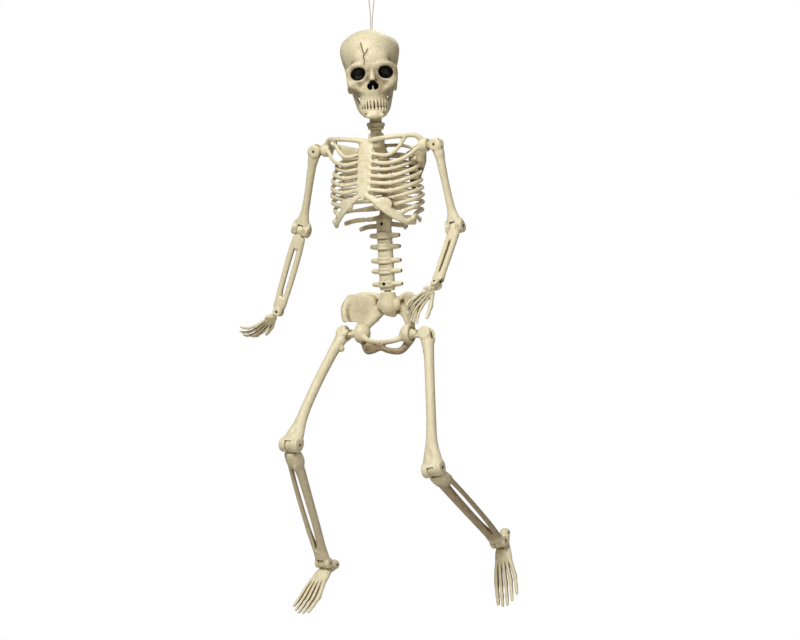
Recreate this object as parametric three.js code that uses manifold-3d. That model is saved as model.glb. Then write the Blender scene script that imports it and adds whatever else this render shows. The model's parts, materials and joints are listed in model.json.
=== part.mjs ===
// Posable hanging plastic skeleton, in millimetres, +Z up.
// The origin is the inside of the top of the hanging loop. The figure faces -Y at yaw 0, its left side is +X.
// Each moving piece is drawn straight in its own frame and posed by its group.
import * as THREE from 'three';
import { mergeVertices } from 'three/addons/utils/BufferGeometryUtils.js';
import Module from 'manifold-3d';

const wasm = await Module();
wasm.setup();

// Driving dimensions.
const LOOP_TO_CROWN = 62;
const UPPER_ARM = 130;
const FOREARM = 132;
const THIGH = 216;
const SHIN = 208;
const GAP = 0.35; // between pieces that touch
const RUNNING_GAP = 0.5; // between a tongue and its fork
const PIN_RADIUS = 1.5;
const PIN_HOLE_RADIUS = 1.9;
const SCREW_HEAD_RADIUS = 2.5;
const SCREW_HEAD_HEIGHT = 1.5;
const CORD_RADIUS = 0.75;

// Rest pose, in degrees. A hand's twist is moulded in, between its wrist and its palm.
const HEAD_YAW = 1;
const HEAD_ROLL = -4.5;
const TORSO_YAW = -28;
const TORSO_ROLL = -2;
const PELVIS_YAW = -31;
const PELVIS_ROLL = 0;
const ARM_POSE = {
  right: { swing: 13, raise: 20, elbow: -13, wrist: 33, twist: 147 },
  left: { swing: 3, raise: -11, elbow: -51, wrist: 36, twist: 166 },
};
const LEG_POSE = {
  right: { swing: -39, spread: 3, knee: 68, ankle: 7 },
  left: { swing: -15, spread: -12, knee: 71, ankle: 15 },
};
const SIDES = { right: -1, left: 1 };

// Places of the trunk pieces.
const HEAD_AT = [-5.3, 0, -LOOP_TO_CROWN];
const NECK_BASE_AT = [7.2, 12, -226];
const WAIST = [0, 22, -234]; // in the torso frame
const HIP_FROM_WAIST = [0, -8, -64.5]; // in the pelvis frame
const SHOULDER_HUB_AT = [86, -3, -15]; // in the torso frame, figure's left
const SHOULDER_PIVOT_OFFSET = 18;
const HIP_CUP_X = 42;
const HIP_PIVOT_OFFSET = 31;
const RIB_SPLIT_Y = -3;
const SKULL_SPLIT_Y = 8;

const X_AXIS = new THREE.Vector3(1, 0, 0);
const Y_AXIS = new THREE.Vector3(0, 1, 0);
const Z_AXIS = new THREE.Vector3(0, 0, 1);
const degrees = THREE.MathUtils.degToRad;

// ---- Solids -------------------------------------------------------------------------------------------------

/** A manifold solid from a closed three.js geometry. */
function solidOf(geometry) {
  const bare = geometry.clone();
  bare.deleteAttribute('normal');
  bare.deleteAttribute('uv');
  const merged = mergeVertices(bare, 1e-4);
  const corners = merged.index.array;
  const kept = [];
  for (let i = 0; i < corners.length; i += 3) {
    const [a, b, c] = corners.slice(i, i + 3);
    if (a !== b && b !== c && c !== a) kept.push(a, b, c);
  }
  return new wasm.Manifold(new wasm.Mesh({
    numProp: 3,
    vertProperties: new Float32Array(merged.attributes.position.array),
    triVerts: new Uint32Array(kept),
  }));
}

function join(...solids) {
  return solids.reduce((whole, next) => whole.add(next));
}

function cut(solid, ...tools) {
  return tools.reduce((whole, tool) => whole.subtract(tool), solid);
}

/** Turns a geometry whose length lies along +Y so that it lies along the named axis. */
function alongAxis(geometry, axis) {
  if (axis === 'x') geometry.rotateZ(-Math.PI / 2);
  if (axis === 'z') geometry.rotateX(Math.PI / 2);
  return geometry;
}

function drum(axis, [x, y, z], radius, length, sides = 12) {
  const geometry = alongAxis(new THREE.CylinderGeometry(radius, radius, length, sides), axis);
  return solidOf(geometry.translate(x, y, z));
}

function block([x, y, z], [width, depth, height], turnX = 0) {
  const geometry = new THREE.BoxGeometry(width, depth, height).rotateX(degrees(turnX));
  return solidOf(geometry.translate(x, y, z));
}

function ball([x, y, z], [rx, ry, rz], { detail = 1, turnY = 0, turnZ = 0 } = {}) {
  const geometry = new THREE.IcosahedronGeometry(1, detail).scale(rx, ry, rz);
  geometry.rotateY(degrees(turnY)).rotateZ(degrees(turnZ));
  return solidOf(geometry.translate(x, y, z));
}

/**
 * A closed tube through stations [x, y, z, halfWidth, halfDepth]. The half width lies along `wide`. The
 * section is a superellipse of power `square`: 2 is an ellipse, and a higher power is squarer.
 */
function bone(stations, { wide = X_AXIS, sides = 8, square = 2 } = {}) {
  const path = new THREE.CatmullRomCurve3(stations.map(([x, y, z]) => new THREE.Vector3(x, y, z)));
  const girth = new THREE.CatmullRomCurve3(stations.map((s) => new THREE.Vector3(s[3], s[4], 0)));
  const rings = stations.length - 1;
  const points = [];
  const corners = [];
  const bend = (v) => Math.sign(v) * Math.abs(v) ** (2 / square);
  for (let ring = 0; ring <= rings; ring += 1) {
    const t = ring / rings;
    const centre = path.getPoint(t);
    const along = path.getTangent(t);
    const across = wide.clone().addScaledVector(along, -wide.dot(along)).normalize();
    const deep = new THREE.Vector3().crossVectors(along, across);
    const size = girth.getPoint(t);
    for (let side = 0; side < sides; side += 1) {
      const angle = (2 * Math.PI * (side + 0.5)) / sides;
      const point = centre.clone()
        .addScaledVector(across, size.x * bend(Math.cos(angle)))
        .addScaledVector(deep, size.y * bend(Math.sin(angle)));
      points.push(...point.toArray());
    }
    for (let side = 0; side < sides && ring < rings; side += 1) {
      const a = ring * sides + side;
      const b = ring * sides + ((side + 1) % sides);
      corners.push(a, b, a + sides, b, b + sides, a + sides);
    }
  }
  const first = points.length / 3;
  [0, 1].forEach((t) => {
    const size = girth.getPoint(t);
    const bulge = 0.45 * Math.min(size.x, size.y) * (t ? 1 : -1);
    points.push(...path.getPoint(t).addScaledVector(path.getTangent(t), bulge).toArray());
  });
  for (let side = 0; side < sides; side += 1) {
    const next = (side + 1) % sides;
    corners.push(first, next, side);
    corners.push(first + 1, rings * sides + side, rings * sides + next);
  }
  const geometry = new THREE.BufferGeometry();
  geometry.setAttribute('position', new THREE.BufferAttribute(new Float32Array(points), 3));
  geometry.setIndex(corners);
  return solidOf(geometry);
}

/** The same stations on the other side of the figure's middle plane when side is -1. */
function mirrored(side, stations) {
  return stations.map(([x, ...rest]) => [side * x, ...rest]);
}

/** A headed pivot screw centred on a point, its head on the far end of the axis. */
function screw(axis, centre, length, headEnd = 1) {
  const headAt = centre.slice();
  headAt['xyz'.indexOf(axis)] += headEnd * (length - SCREW_HEAD_HEIGHT) / 2;
  return join(drum(axis, centre, PIN_RADIUS, length, 6),
    drum(axis, headAt, SCREW_HEAD_RADIUS, SCREW_HEAD_HEIGHT, 8));
}

/** The hole for such a screw, with a pocket that lets its head sink in. */
function screwHole(axis, centre, length, headEnd = 1) {
  const headAt = centre.slice();
  headAt['xyz'.indexOf(axis)] += headEnd * (length / 2 + 6 - SCREW_HEAD_HEIGHT - 2 * GAP);
  return join(drum(axis, centre, PIN_HOLE_RADIUS, length + 2 * GAP, 8),
    drum(axis, headAt, SCREW_HEAD_RADIUS + 0.6, 12, 8));
}

// ---- Materials and nodes ------------------------------------------------------------------------------------

const plastic = { color: 0xded5b3, roughness: 0.45, metalness: 0 };
const steel = { color: 0x8d8c88, roughness: 0.4, metalness: 0.9 };
const string = { color: 0xb9ad97, roughness: 0.9, metalness: 0 };

const figure = new THREE.Group();

function addNode(parent, name, solid, finish = plastic) {
  const { vertProperties, triVerts } = solid.getMesh();
  const geometry = new THREE.BufferGeometry();
  geometry.setAttribute('position', new THREE.BufferAttribute(new Float32Array(vertProperties), 3));
  geometry.setIndex(new THREE.BufferAttribute(new Uint32Array(triVerts), 1));
  const mesh = new THREE.Mesh(geometry, new THREE.MeshStandardMaterial(finish));
  mesh.name = name;
  parent.add(mesh);
  return mesh;
}

function addGroup(parent, at, { x = 0, y = 0, z = 0 } = {}) {
  const group = new THREE.Group();
  group.position.set(...at);
  group.rotation.set(degrees(x), degrees(y), degrees(z), 'ZYX');
  parent.add(group);
  return group;
}

// ---- Head ---------------------------------------------------------------------------------------------------

const NECK_HOLE = [3.2, 12]; // sideways and back of the head's own centre
const EYE_X = 20.8;
const EYE_Z = -68;
const SKULL_BASE_Z = -94;
const JAW_PIVOT = [0, 4, -86];
const JAW_PIVOT_X = 31;
const JAW_SCREW = 11.4;
const JAW_SCREW_X = 32;

/** The cranium as a stack of level sections: [height, half width, front, back]. */
function cranium(inset) {
  const sections = [
    [-0.5, 11, -12, 13],
    [-5, 24, -29, 32],
    [-10, 32.5, -38, 43],
    [-16, 39.5, -45, 51],
    [-24, 44, -49, 57],
    [-34, 45.5, -52, 60],
    [-47, 42.5, -53, 60],
    [-58, 39, -54, 57],
    [-70, 38, -50, 50],
    [-82, 36, -48, 38],
    [SKULL_BASE_Z, 29, -44, 27],
  ];
  return sections.map(([z, half, front, back]) => [
    0, (front + back) / 2, z, half - inset, (back - front) / 2 - inset]);
}

function skullShells() {
  const outside = join(
    bone(cranium(0), { sides: 16, square: 2.2 }),
    // upper jaw and the base of the nose
    bone([[0, -32, -78, 25, 18], [0, -33, -94, 23, 15], [0, -34, -106, 20, 12.5], [0, -35, -113.5, 17.5, 11]],
      { sides: 10, square: 2.4 }),
    // brow
    bone([[-34, -44, -59, 4, 5], [-18, -52, -54, 4, 5], [0, -52, -57, 4, 4], [18, -52, -54, 4, 5],
      [34, -44, -59, 4, 5]], { wide: Y_AXIS, sides: 6 }),
    // nasal bones
    bone([[0, -50, -58, 4, 5], [0, -54, -68, 4.5, 5], [0, -57, -76, 5, 4]], { sides: 6 }),
    ...[-1, 1].map((side) => bone(mirrored(side, [
      // cheekbone and its arch back to the ear
      [20, -48, -86, 6, 7], [33, -41, -82, 5, 7], [36.5, -24, -79, 3, 5.5], [36.5, -6, -77, 3, 4.5],
      [35, 8, -74, 4, 4.5]]), { wide: X_AXIS, sides: 6 })),
    // plates outside the jaw's ends
    ...[-1, 1].map((side) => drum('x', [side * 36, 4, -83], 8, 4.4, 12)),
  );
  const hollow = join(
    bone([[0, 4, -8, 12, 18], [0, 8, -24, 38, 42], [0, 10, -46, 39, 44], [0, 9, -66, 34, 38],
      [0, 10, -82, 26, 26],
      [0, 8, SKULL_BASE_Z + 5, 20, 16]], { sides: 10, square: 2.2 }),
    drum('z', [...NECK_HOLE, SKULL_BASE_Z], 12, 40, 12),
  );
  const sockets = [-1, 1].flatMap((side) => [
    ball([side * EYE_X, -52, EYE_Z], [11, 17, 10.3]),
    ball([side * 47, -14, -62], [11, 24, 15], { turnZ: side * 8 }),
    // room for the ramus of the lower jaw
    block([side * 30, 2, -100], [20, 30, 24]),
    block([side * JAW_PIVOT_X, JAW_PIVOT[1], JAW_PIVOT[2] - 2], [6.4, 19, 18]),
    screwHole('x', [side * JAW_SCREW_X, JAW_PIVOT[1], JAW_PIVOT[2]], JAW_SCREW, side),
  ]);
  const nose = join(
    ball([-4, -56, -88], [5, 10, 7]),
    ball([4, -56, -88], [5, 10, 7]),
  );
  const stringHole = drum('z', [-HEAD_AT[0], 0, 0], 3, 36, 12);
  const whole = cut(outside, hollow, ...sockets, nose, stringHole);
  return [-1, 1].map((half) => whole.intersect(
    block([0, SKULL_SPLIT_Y + half * (100 + GAP / 2), -60], [200, 200, 200])));
}

function lowerJaw() {
  const halves = [-1, 1].map((side) => bone(mirrored(side, [
    [JAW_PIVOT_X, 4, -86, 2.4, 6], [29.4, 2, -97, 2.8, 8], [25.4, -3, -109, 3.4, 9.5], [21.4, -16, -118, 4, 9],
    [14, -35, -126.5, 4.5, 8], [0, -46, -131, 5, 7.5]]), { wide: X_AXIS, sides: 6 }));
  const bar = bone([[-15, -38, -124, 4, 4.5], [-9, -44, -125, 4, 4.5], [0, -46, -125, 4, 4.5],
    [9, -44, -125, 4, 4.5],
    [15, -38, -124, 4, 4.5]], { wide: Y_AXIS, sides: 6 });
  const eyes = [-1, 1].map((side) => drum('x', [side * JAW_PIVOT_X, JAW_PIVOT[1], JAW_PIVOT[2]], 6, 5, 12));
  const pivots = drum('x', JAW_PIVOT, PIN_HOLE_RADIUS, 100, 8);
  return cut(join(...halves, bar, ...eyes), pivots);
}

function addHead() {
  const head = addGroup(figure, HEAD_AT, { z: HEAD_YAW, y: HEAD_ROLL });
  const [face, back] = skullShells();
  addNode(head, 'skull_face', face);
  addNode(head, 'skull_back', back);
  addNode(head, 'lower_jaw', lowerJaw());
  Object.entries(SIDES).forEach(([name, side]) => {
    addNode(head, `jaw_screw_${name}`,
      screw('x', [side * JAW_SCREW_X, JAW_PIVOT[1], JAW_PIVOT[2]], JAW_SCREW - 2 * GAP, side), steel);
  });
}

// ---- Hanging string -----------------------------------------------------------------------------------------

// One string: up one strand, over the top of the loop and down the other, both ends in the knot.
const STRING_ROUTE = [
  [-1.1, 0, -70], [-1.1, 0, -62], [-1.1, 0, -54], [-1.2, 0, -47], [-1.9, 0, -38], [-2.8, 0, -28],
    [-3.8, 0, -18],
  [-4.4, 0, -11], [-4.1, 0, -4.5], [-2.4, 0, -0.4], [0, 0, 0.9], [2.4, 0, -0.4], [4.1, 0, -4.5], [4.4, 0, -11],
  [3.8, 0, -18], [2.8, 0, -28], [1.9, 0, -38], [1.2, 0, -47], [1.1, 0, -54], [1.1, 0, -62], [1.1, 0, -70],
];
const STRING_STEPS = 34;

function addString() {
  const route = new THREE.CatmullRomCurve3(STRING_ROUTE.map((p) => new THREE.Vector3(...p)));
  const section = new THREE.Shape();
  for (let side = 0; side < 8; side += 1) {
    const angle = (2 * Math.PI * side) / 8;
    const corner = [CORD_RADIUS * Math.cos(angle), CORD_RADIUS * Math.sin(angle)];
    if (side === 0) section.moveTo(...corner);
    else section.lineTo(...corner);
  }
  section.closePath();
  const tube = new THREE.ExtrudeGeometry(section, { steps: STRING_STEPS, extrudePath: route });
  addNode(figure, 'cord_loop', solidOf(tube), string);
  const knotAt = [0, 0, -70 - GAP - 3.2];
  addNode(figure, 'cord_knot', ball(knotAt, [4, 3.6, 3.2]), string);
}

// ---- Neck and trunk -----------------------------------------------------------------------------------------

const NECK_FLANGE_Z = 80;
const NECK_TONGUE_HALF = 4.4;
const LAP_Z = [-124, -139];
const LAP_Y = 17;
const SPINE_SCREW = [0, LAP_Y, -131];

function neckColumn() {
  const profile = [
    [0, 9], [9.5, 10], [14, 17], [14, 21], [9.5, 23], [9.5, 30], [14, 32], [14, 36], [9.5, 38], [9.5, 46],
    [13, 48], [13, 51], [9, 53], [8.5, NECK_FLANGE_Z - 3], [13, NECK_FLANGE_Z - 1], [13, NECK_FLANGE_Z + 2],
    [0, NECK_FLANGE_Z + 3],
  ];
  const column = new THREE.LatheGeometry(profile.map(([r, h]) => new THREE.Vector2(r, h)), 10);
  column.rotateX(Math.PI / 2);
  const tongue = join(
    drum('x', [0, 0, 0], 7, 2 * NECK_TONGUE_HALF, 12),
    block([0, 0, 6], [2 * NECK_TONGUE_HALF, 12, 10]),
  );
  return cut(join(solidOf(column), tongue), drum('x', [0, 0, 0], PIN_HOLE_RADIUS, 30, 8));
}

// The ribs that go from the spine round the side, the first four to the breastbone, the others to the costal arch:
// [height at the spine, widest half width, height at the side, lowest height in front, then the three
// coordinates of the front end, then how far back the rib reaches].
const FULL_RIBS = [
  [-26, 66, -36, -50, 9, -40, -48, 33],
  [-37, 70, -47, -61, 9, -42, -59, 35],
  [-48, 73, -57, -71.5, 9, -44, -69, 38],
  [-60, 74, -68, -83, 9, -46, -80, 39],
  [-71, 75, -80, -93, 26, -46, -100, 40],
  [-81, 75, -91, -104, 37, -42.5, -110.5, 40],
  [-92, 74, -102, -115, 48, -36, -122, 39],
  [-105, 71, -113, -125, 60, -24, -130.5, 37],
];
const BACK_RIBS = [[-119, 64, -128], [-130, 38, -138]];
const RIB_HALF = [3.2, 4.3];
// Stations of the upper spine, with its half width at each.
const SPINE = [[0, 9, -8, 8.5], [0, 20, -30, 8.5], [0, 29, -56, 8.5], [0, 31, -82, 9], [0, 25, -110, 11],
  [0, LAP_Y + 1, -139, 12]];

function fullRib(side, [spineZ, half, sideZ, lowZ, frontX, frontY, frontZ, back]) {
  const spineY = back - 10;
  const middle = (frontY + back) / 2;
  const depth = (back - frontY) / 2;
  const [thick, tall] = RIB_HALF;
  return bone(mirrored(side, [
    [3, spineY, spineZ, thick, tall],
    [half * 0.5, middle + depth * 0.87, spineZ + (sideZ - spineZ) * 0.2, thick, tall],
    [half * 0.94, middle + depth * 0.35, sideZ + (spineZ - sideZ) * 0.3, thick, tall],
    [half * 0.94, middle - depth * 0.35, sideZ + (lowZ - sideZ) * 0.4, thick, tall],
    [Math.max(half * 0.57, frontX + 8), middle - depth * (frontX < 20 ? 0.82 : 0.72), lowZ, thick, tall],
    [frontX, frontY, frontZ, thick, tall],
  ]), { wide: new THREE.Vector3(side, -0.6, 0.2), sides: 4 });
}

function backRib(side, [spineZ, half, tipZ]) {
  const [thick, tall] = RIB_HALF;
  return bone(mirrored(side, [
    [4, 26 + (spineZ + 102) * 0.3, spineZ, thick, tall],
    [half * 0.45, 36, spineZ - 3, thick, tall],
    [half * 0.85, 28, (spineZ + tipZ) / 2, thick, tall],
    [half, 12, tipZ, thick - 0.6, tall - 0.8],
  ]), { wide: new THREE.Vector3(side, -0.3, 0), sides: 4 });
}

function costalArch(side) {
  return join(
    bone(mirrored(side, [
      [5, -47, -88, 3, 5], [20, -47, -97, 3, 6.5], [37, -42.5, -111, 3, 8], [50, -34, -122, 3, 7],
      [60, -24, -130.5, 3.4, 4.6], [67, -11, -131, 3.6, 4.6]]),
        { wide: new THREE.Vector3(side, -0.8, 0), sides: 6 }),
    ball([side * 31, -44, -102], [13, 3, 9], { turnZ: side * 20 }),
  );
}

/** The two bars that rise from the breastbone to the collar bone and the socket, with open windows between. */
function chestBars(side) {
  return [
    bone(mirrored(side, [[8, -35, -25, 3, 3.6], [34, -34, -29, 3, 3.6], [50, -28, -20, 3, 3.6],
      [60, -22, -4, 3, 3.6]]),
      { wide: new THREE.Vector3(side, -0.8, 0), sides: 4 }),
    bone(mirrored(side, [[8, -37, -37, 3, 3.8], [36, -36, -41, 3, 3.8], [60, -25, -34, 3, 3.8],
      [74, -14, -22, 3, 3.8],
      [82, -6, -14, 3, 3.8]]), { wide: new THREE.Vector3(side, -0.8, 0), sides: 4 }),
  ];
}

function shoulderGirdle(side) {
  const [x, y, z] = SHOULDER_HUB_AT;
  return join(
    // collar bone
    bone(mirrored(side, [[8, -31, -6, 4.4, 4.4], [34, -33, -2, 4, 4], [60, -22, 0, 4, 4],
      [x - 4, y - 4, z + 8, 4.4, 5]]), { wide: Y_AXIS, sides: 6 }),
    // socket
    drum('x', [side * (x - 2), y, z], 10.5, 13, 12),
    // spine of the shoulder blade
    bone(mirrored(side, [[x - 4, y + 5, z + 4, 4, 4], [72, 20, -10, 3.4, 4], [52, 34, -18, 3, 4],
      [34, 37, -24, 2.4, 3]]),
      { wide: Y_AXIS, sides: 6 }),
    // blade
    bone(mirrored(side, [[70, 20, -14, 2.4, 6], [58, 31, -27, 2.2, 17], [50, 35.5, -44, 2.2, 15],
      [44, 38, -62, 2.2, 9],
      [40, 39, -76, 2.2, 4]]), { wide: new THREE.Vector3(side * 0.35, 1, 0), sides: 6 }),
    // rib behind the collar bone
    bone(mirrored(side, [[3, 12, -12, 3, 4], [28, 26, -12, 3, 4], [50, 33, -18, 3, 4]]),
      { wide: Z_AXIS, sides: 4 }),
  );
}

function ribCage() {
  const sides = Object.values(SIDES);
  const breastbone = bone([[0, -30, -4, 13, 3.4], [0, -33, -14, 13.5, 3.6], [0, -36, -26, 13, 3.4],
    [0, -42, -60, 12.6, 3.4], [0, -46, -82, 12, 3.2], [0, -47.5, -90, 7, 3], [0, -49, -97, 3, 2.4]],
  { sides: 8 });
  const spine = bone(SPINE.map((p) => [...p, 8]), { sides: 8 });
  const cage = join(
    breastbone,
    spine,
    ...sides.flatMap((side) => [
      ...chestBars(side),
      ...FULL_RIBS.map((rib) => fullRib(side, rib)),
      ...BACK_RIBS.map((rib) => backRib(side, rib)),
      costalArch(side),
      shoulderGirdle(side),
    ]),
  );
  const [hubX, hubY, hubZ] = SHOULDER_HUB_AT;
  const bores = sides.flatMap((side) => [
    drum('x', [side * hubX, hubY, hubZ], 5 + RUNNING_GAP, 40, 12),
    drum('x', [side * (hubX - 4), hubY, hubZ], 7.5 + RUNNING_GAP, 4 + 2 * RUNNING_GAP, 12),
  ]);
  const lap = join(
    block([0, LAP_Y - 10 + GAP / 2, LAP_Z[0] - 20], [30, 20, 40]),
    block([0, LAP_Y + 8, LAP_Z[1] - 10], [24, 30, 20]),
  );
  const fork = cut(
    join(
      drum('x', [0, 0, 0], 8, 21, 12),
      block([0, 2, -8], [21, 14, 16]),
      bone([[0, 3, -8, 10, 7], [0, 12, -20, 9, 8]], { sides: 8 }),
    ),
    block([0, 0, 0], [2 * (NECK_TONGUE_HALF + RUNNING_GAP), 40, 17]),
    block([0, 0, 20], [2 * (NECK_TONGUE_HALF + RUNNING_GAP), 40, 40]),
    screwHole('x', [0, 0, 0], 21),
  );
  const clear = block([0, 0, -5], [24, 19, 30]);
  const screwPath = screwHole('y', SPINE_SCREW, 17, -1);
  const front = cut(cage, ...bores, clear)
    .intersect(block([0, RIB_SPLIT_Y - 100 - GAP / 2, -60], [300, 200, 300]));
  const back = join(
    cut(cage, ...bores, lap, block([0, 0, 6], [24, 19, 20]))
      .intersect(block([0, RIB_SPLIT_Y + 100 + GAP / 2, -60], [300, 200, 300])),
    fork,
  );
  return { front, back: cut(back, screwPath, screwHole('x', [0, 0, 0], 21),
    block([0, 0, 0], [2 * (NECK_TONGUE_HALF + RUNNING_GAP), 40, 17])) };
}

const VERTEBRAE = [-149, -166, -187, -203, -223];
const WAIST_PEG_RADIUS = 5;
const WAIST_PLAY = 1.4; // lets the peg lean in the pelvis

function lumbarY(z) {
  return THREE.MathUtils.mapLinear(z, -131, WAIST[2], LAP_Y - 1, WAIST[1]);
}

function lumbarSpine() {
  const stations = [[0, lumbarY(-126) - 3, -126, 11.5, 5], [0, lumbarY(-140), -140, 12, 9]];
  VERTEBRAE.forEach((z) => {
    stations.push([0, lumbarY(z), z + 5.6, 13, 10], [0, lumbarY(z), z + 3.4, 22.6, 9.5],
      [0, lumbarY(z), z - 3.4, 22.6, 9.5], [0, lumbarY(z), z - 5.6, 13, 10]);
  });
  stations.push([0, WAIST[1], WAIST[2] + 2.5, 11, 10]);
  const column = bone(stations, { sides: 8 });
  const lap = block([0, LAP_Y + 15, LAP_Z[1] + 15 - GAP], [40, 30, 30]);
  return cut(
    column,
    lap,
    screwHole('y', SPINE_SCREW, 17, -1),
    drum('z', [0, WAIST[1], WAIST[2]], WAIST_PEG_RADIUS + GAP, 48, 12),
    screwHole('y', [0, WAIST[1], -223], 19, -1),
    block([0, WAIST[1], WAIST[2] - 8.4], [60, 60, 20]),
  );
}

function waistPeg() {
  const [x, y, z] = WAIST;
  return cut(
    join(
      drum('z', [x, y, z + 3], WAIST_PEG_RADIUS, 37, 12),
      drum('z', [x, y, z - 16], 7.5, 4, 12),
    ),
    drum('y', [0, y, -223], PIN_HOLE_RADIUS, 30, 8),
  );
}

function addTorso() {
  const torso = addGroup(figure, NECK_BASE_AT, { z: TORSO_YAW, y: TORSO_ROLL });
  const { front, back } = ribCage();
  addNode(torso, 'rib_cage_front', front);
  addNode(torso, 'rib_cage_back', back);
  addNode(torso, 'neck_column', neckColumn());
  addNode(torso, 'neck_screw', screw('x', [0, 0, 0], 21 - 2 * GAP), steel);
  addNode(torso, 'lumbar_spine', lumbarSpine());
  addNode(torso, 'spine_screw', screw('y', SPINE_SCREW, 17 - 2 * GAP, -1), steel);
  addNode(torso, 'waist_peg', waistPeg());
  addNode(torso, 'waist_screw', screw('y', [0, WAIST[1], -223], 19 - 2 * GAP, -1), steel);
  return torso;
}

// ---- Arms ---------------------------------------------------------------------------------------------------

const SHOULDER_FORK = 10;
const ELBOW_RADIUS = 10;
const WRIST_RADIUS = 6.5;

function shoulderHub(side) {
  return cut(
    join(
      drum('x', [side * -1, 0, 0], 5, 14, 12),
      drum('x', [side * -4, 0, 0], 7.5, 4, 12),
      block([side * 12, 0, 0], [13, 6, 9]),
      drum('y', [side * SHOULDER_PIVOT_OFFSET, 0, 0], 6.5, 6, 12),
    ),
    drum('y', [side * SHOULDER_PIVOT_OFFSET, 0, 0], PIN_HOLE_RADIUS, 30, 8),
  );
}

function upperArm(side) {
  const shaft = bone(mirrored(side, [[1, 0, -4, 9.5, 8.5], [1.5, 0, -18, 7.5, 7.5], [1, 0, -42, 6.2, 6.4],
    [0, 1, -80, 5.8, 6], [0, 1, -106, 7.5, 6.2], [0, 0, -121, 12, 8], [0, 0, -UPPER_ARM, 13.5, 9]]),
      { sides: 8 });
  return cut(
    join(
      drum('y', [0, 0, 0], SHOULDER_FORK, 17.6, 12),
      shaft,
      drum('x', [0, 0, -UPPER_ARM], ELBOW_RADIUS, 28, 12),
    ),
    block([0, 0, 12], [60, 6 + 2 * RUNNING_GAP, 40.5]),
    screwHole('y', [0, 0, 0], 18),
    block([0, 0, -UPPER_ARM - 11], [8.4 + 2 * RUNNING_GAP, 60, 41]),
    screwHole('x', [0, 0, -UPPER_ARM], 27, side),
  );
}

function forearm(side) {
  const elbow = join(
    drum('x', [0, 0, 0], 8.6, 8.4, 12),
    block([0, 0, -9], [8.4, 11, 12]),
    cut(bone([[0, 0, -10, 9.5, 6], [0, 0, -18, 10.5, 6.5], [0, 0, -27, 10, 6]], { sides: 8 }),
      drum('x', [0, 0, 0], ELBOW_RADIUS + 0.9, 60, 12)),
  );
  const ulna = bone(mirrored(side, [[-5, 0, -16, 5, 5.4], [-6.4, 1, -40, 4.8, 5], [-6.6, 1.4, -72, 4.6, 4.8],
    [-5.6, 1, -104, 4.4, 4.6], [-4, 0, -118, 5, 5]]), { sides: 6 });
  const radius = bone(mirrored(side, [[5, 0, -16, 5, 5.4], [6.6, -0.6, -40, 4.8, 5], [6.8, -1, -72, 4.8, 5],
    [6, -1, -104, 4.8, 5], [4.5, 0, -118, 5.5, 5.5]]), { sides: 6 });
  const wrist = join(
    bone([[0, 0, -110, 10, 6.5], [0, 0, -121, 9.5, 7.5], [0, 0, -FOREARM + 3, 8.5, 7.5]], { sides: 8 }),
    drum('y', [0, 0, -FOREARM], WRIST_RADIUS + 0.5, 15, 12),
  );
  return cut(
    join(elbow, ulna, radius, wrist),
    drum('x', [0, 0, 0], PIN_HOLE_RADIUS, 40, 8),
    block([0, 0, -FOREARM - 12], [60, 5.6 + 2 * RUNNING_GAP, 40]),
    screwHole('y', [0, 0, -FOREARM], 15),
  );
}

// Each finger in the hand's frame: forward offset and height of its knuckle, its splay in degrees, and the lengths
// of its three bones.
const FINGERS = [
  [-9.5, -42, -14, 16, 11, 8], [-3.4, -45, -5, 17.5, 12, 8.5], [2.8, -44, 4, 16.5, 11.5, 8],
    [8.6, -41, 13, 13.5, 9, 7],
];
const FINGER_CURL = [22, 42, 58]; // degrees from straight, of each bone in turn

/** Stations turned about the vertical axis of their frame. */
function twisted(angle, stations) {
  const [cos, sin] = [Math.cos(degrees(angle)), Math.sin(degrees(angle))];
  return stations.map(([x, y, ...rest]) => [x * cos - y * sin, x * sin + y * cos, ...rest]);
}

/** The knuckle and the ends of a finger's three bones, as [x, y, z]. */
function fingerJoints(palmar, [y, z, splay, ...lengths]) {
  const [along, aside] = [Math.cos(degrees(splay)), Math.sin(degrees(splay))];
  const joints = [[palmar, y, z]];
  lengths.forEach((length, k) => {
    const [bent, straight] = [Math.sin(degrees(FINGER_CURL[k])), Math.cos(degrees(FINGER_CURL[k]))];
    const [px, py, pz] = joints[k];
    joints.push([px + length * palmar * bent, py + length * straight * aside, pz - length * straight * along]);
  });
  return joints;
}

function hand(side, twist) {
  const palmar = -side;
  const [[wideX, wideY]] = twisted(twist, [[1, 0]]);
  const across = { wide: new THREE.Vector3(wideX, wideY, 0.3) };
  const fingers = FINGERS.map((finger) => {
    const [knuckle, first, second, tip] = fingerJoints(palmar, finger);
    const [y, z] = finger;
    return bone(twisted(twist, [
      [0, y * 0.55, -16, 3, 3],
      [0.4 * palmar, y * 0.8, z * 0.6, 2.5, 2.7],
      [...knuckle, 3.2, 3.3],
      [...first, 2.8, 2.8],
      [...second, 2.4, 2.4],
      [...tip, 1.6, 1.7],
    ]), { ...across, sides: 5 });
  });
  const thumb = bone(twisted(twist, [[palmar, -6, -13, 3, 3], [2.5 * palmar, -13, -23, 2.9, 3],
    [4.5 * palmar, -18, -32, 3.2, 3.2], [6.5 * palmar, -22, -40, 2.6, 2.7],
      [8.5 * palmar, -25, -47, 1.8, 1.8]]),
  { ...across, sides: 5 });
  const carpals = bone([[0, 0, -10.2, 4.2, 8.5], [0, 0, -17, 4.4, 10.5], [0, 0, -24, 3.4, 9]],
    { ...across, sides: 8 });
  const wrist = join(
    drum('y', [0, 0, 0], WRIST_RADIUS - 0.5, 5.6, 12),
    block([0, 0, -6], [7, 5.6, 10]),
    cut(carpals, drum('y', [0, 0, 0], WRIST_RADIUS + 1.2, 60, 12)),
  );
  return cut(join(wrist, thumb, ...fingers), drum('y', [0, 0, 0], PIN_HOLE_RADIUS, 30, 8));
}

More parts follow.
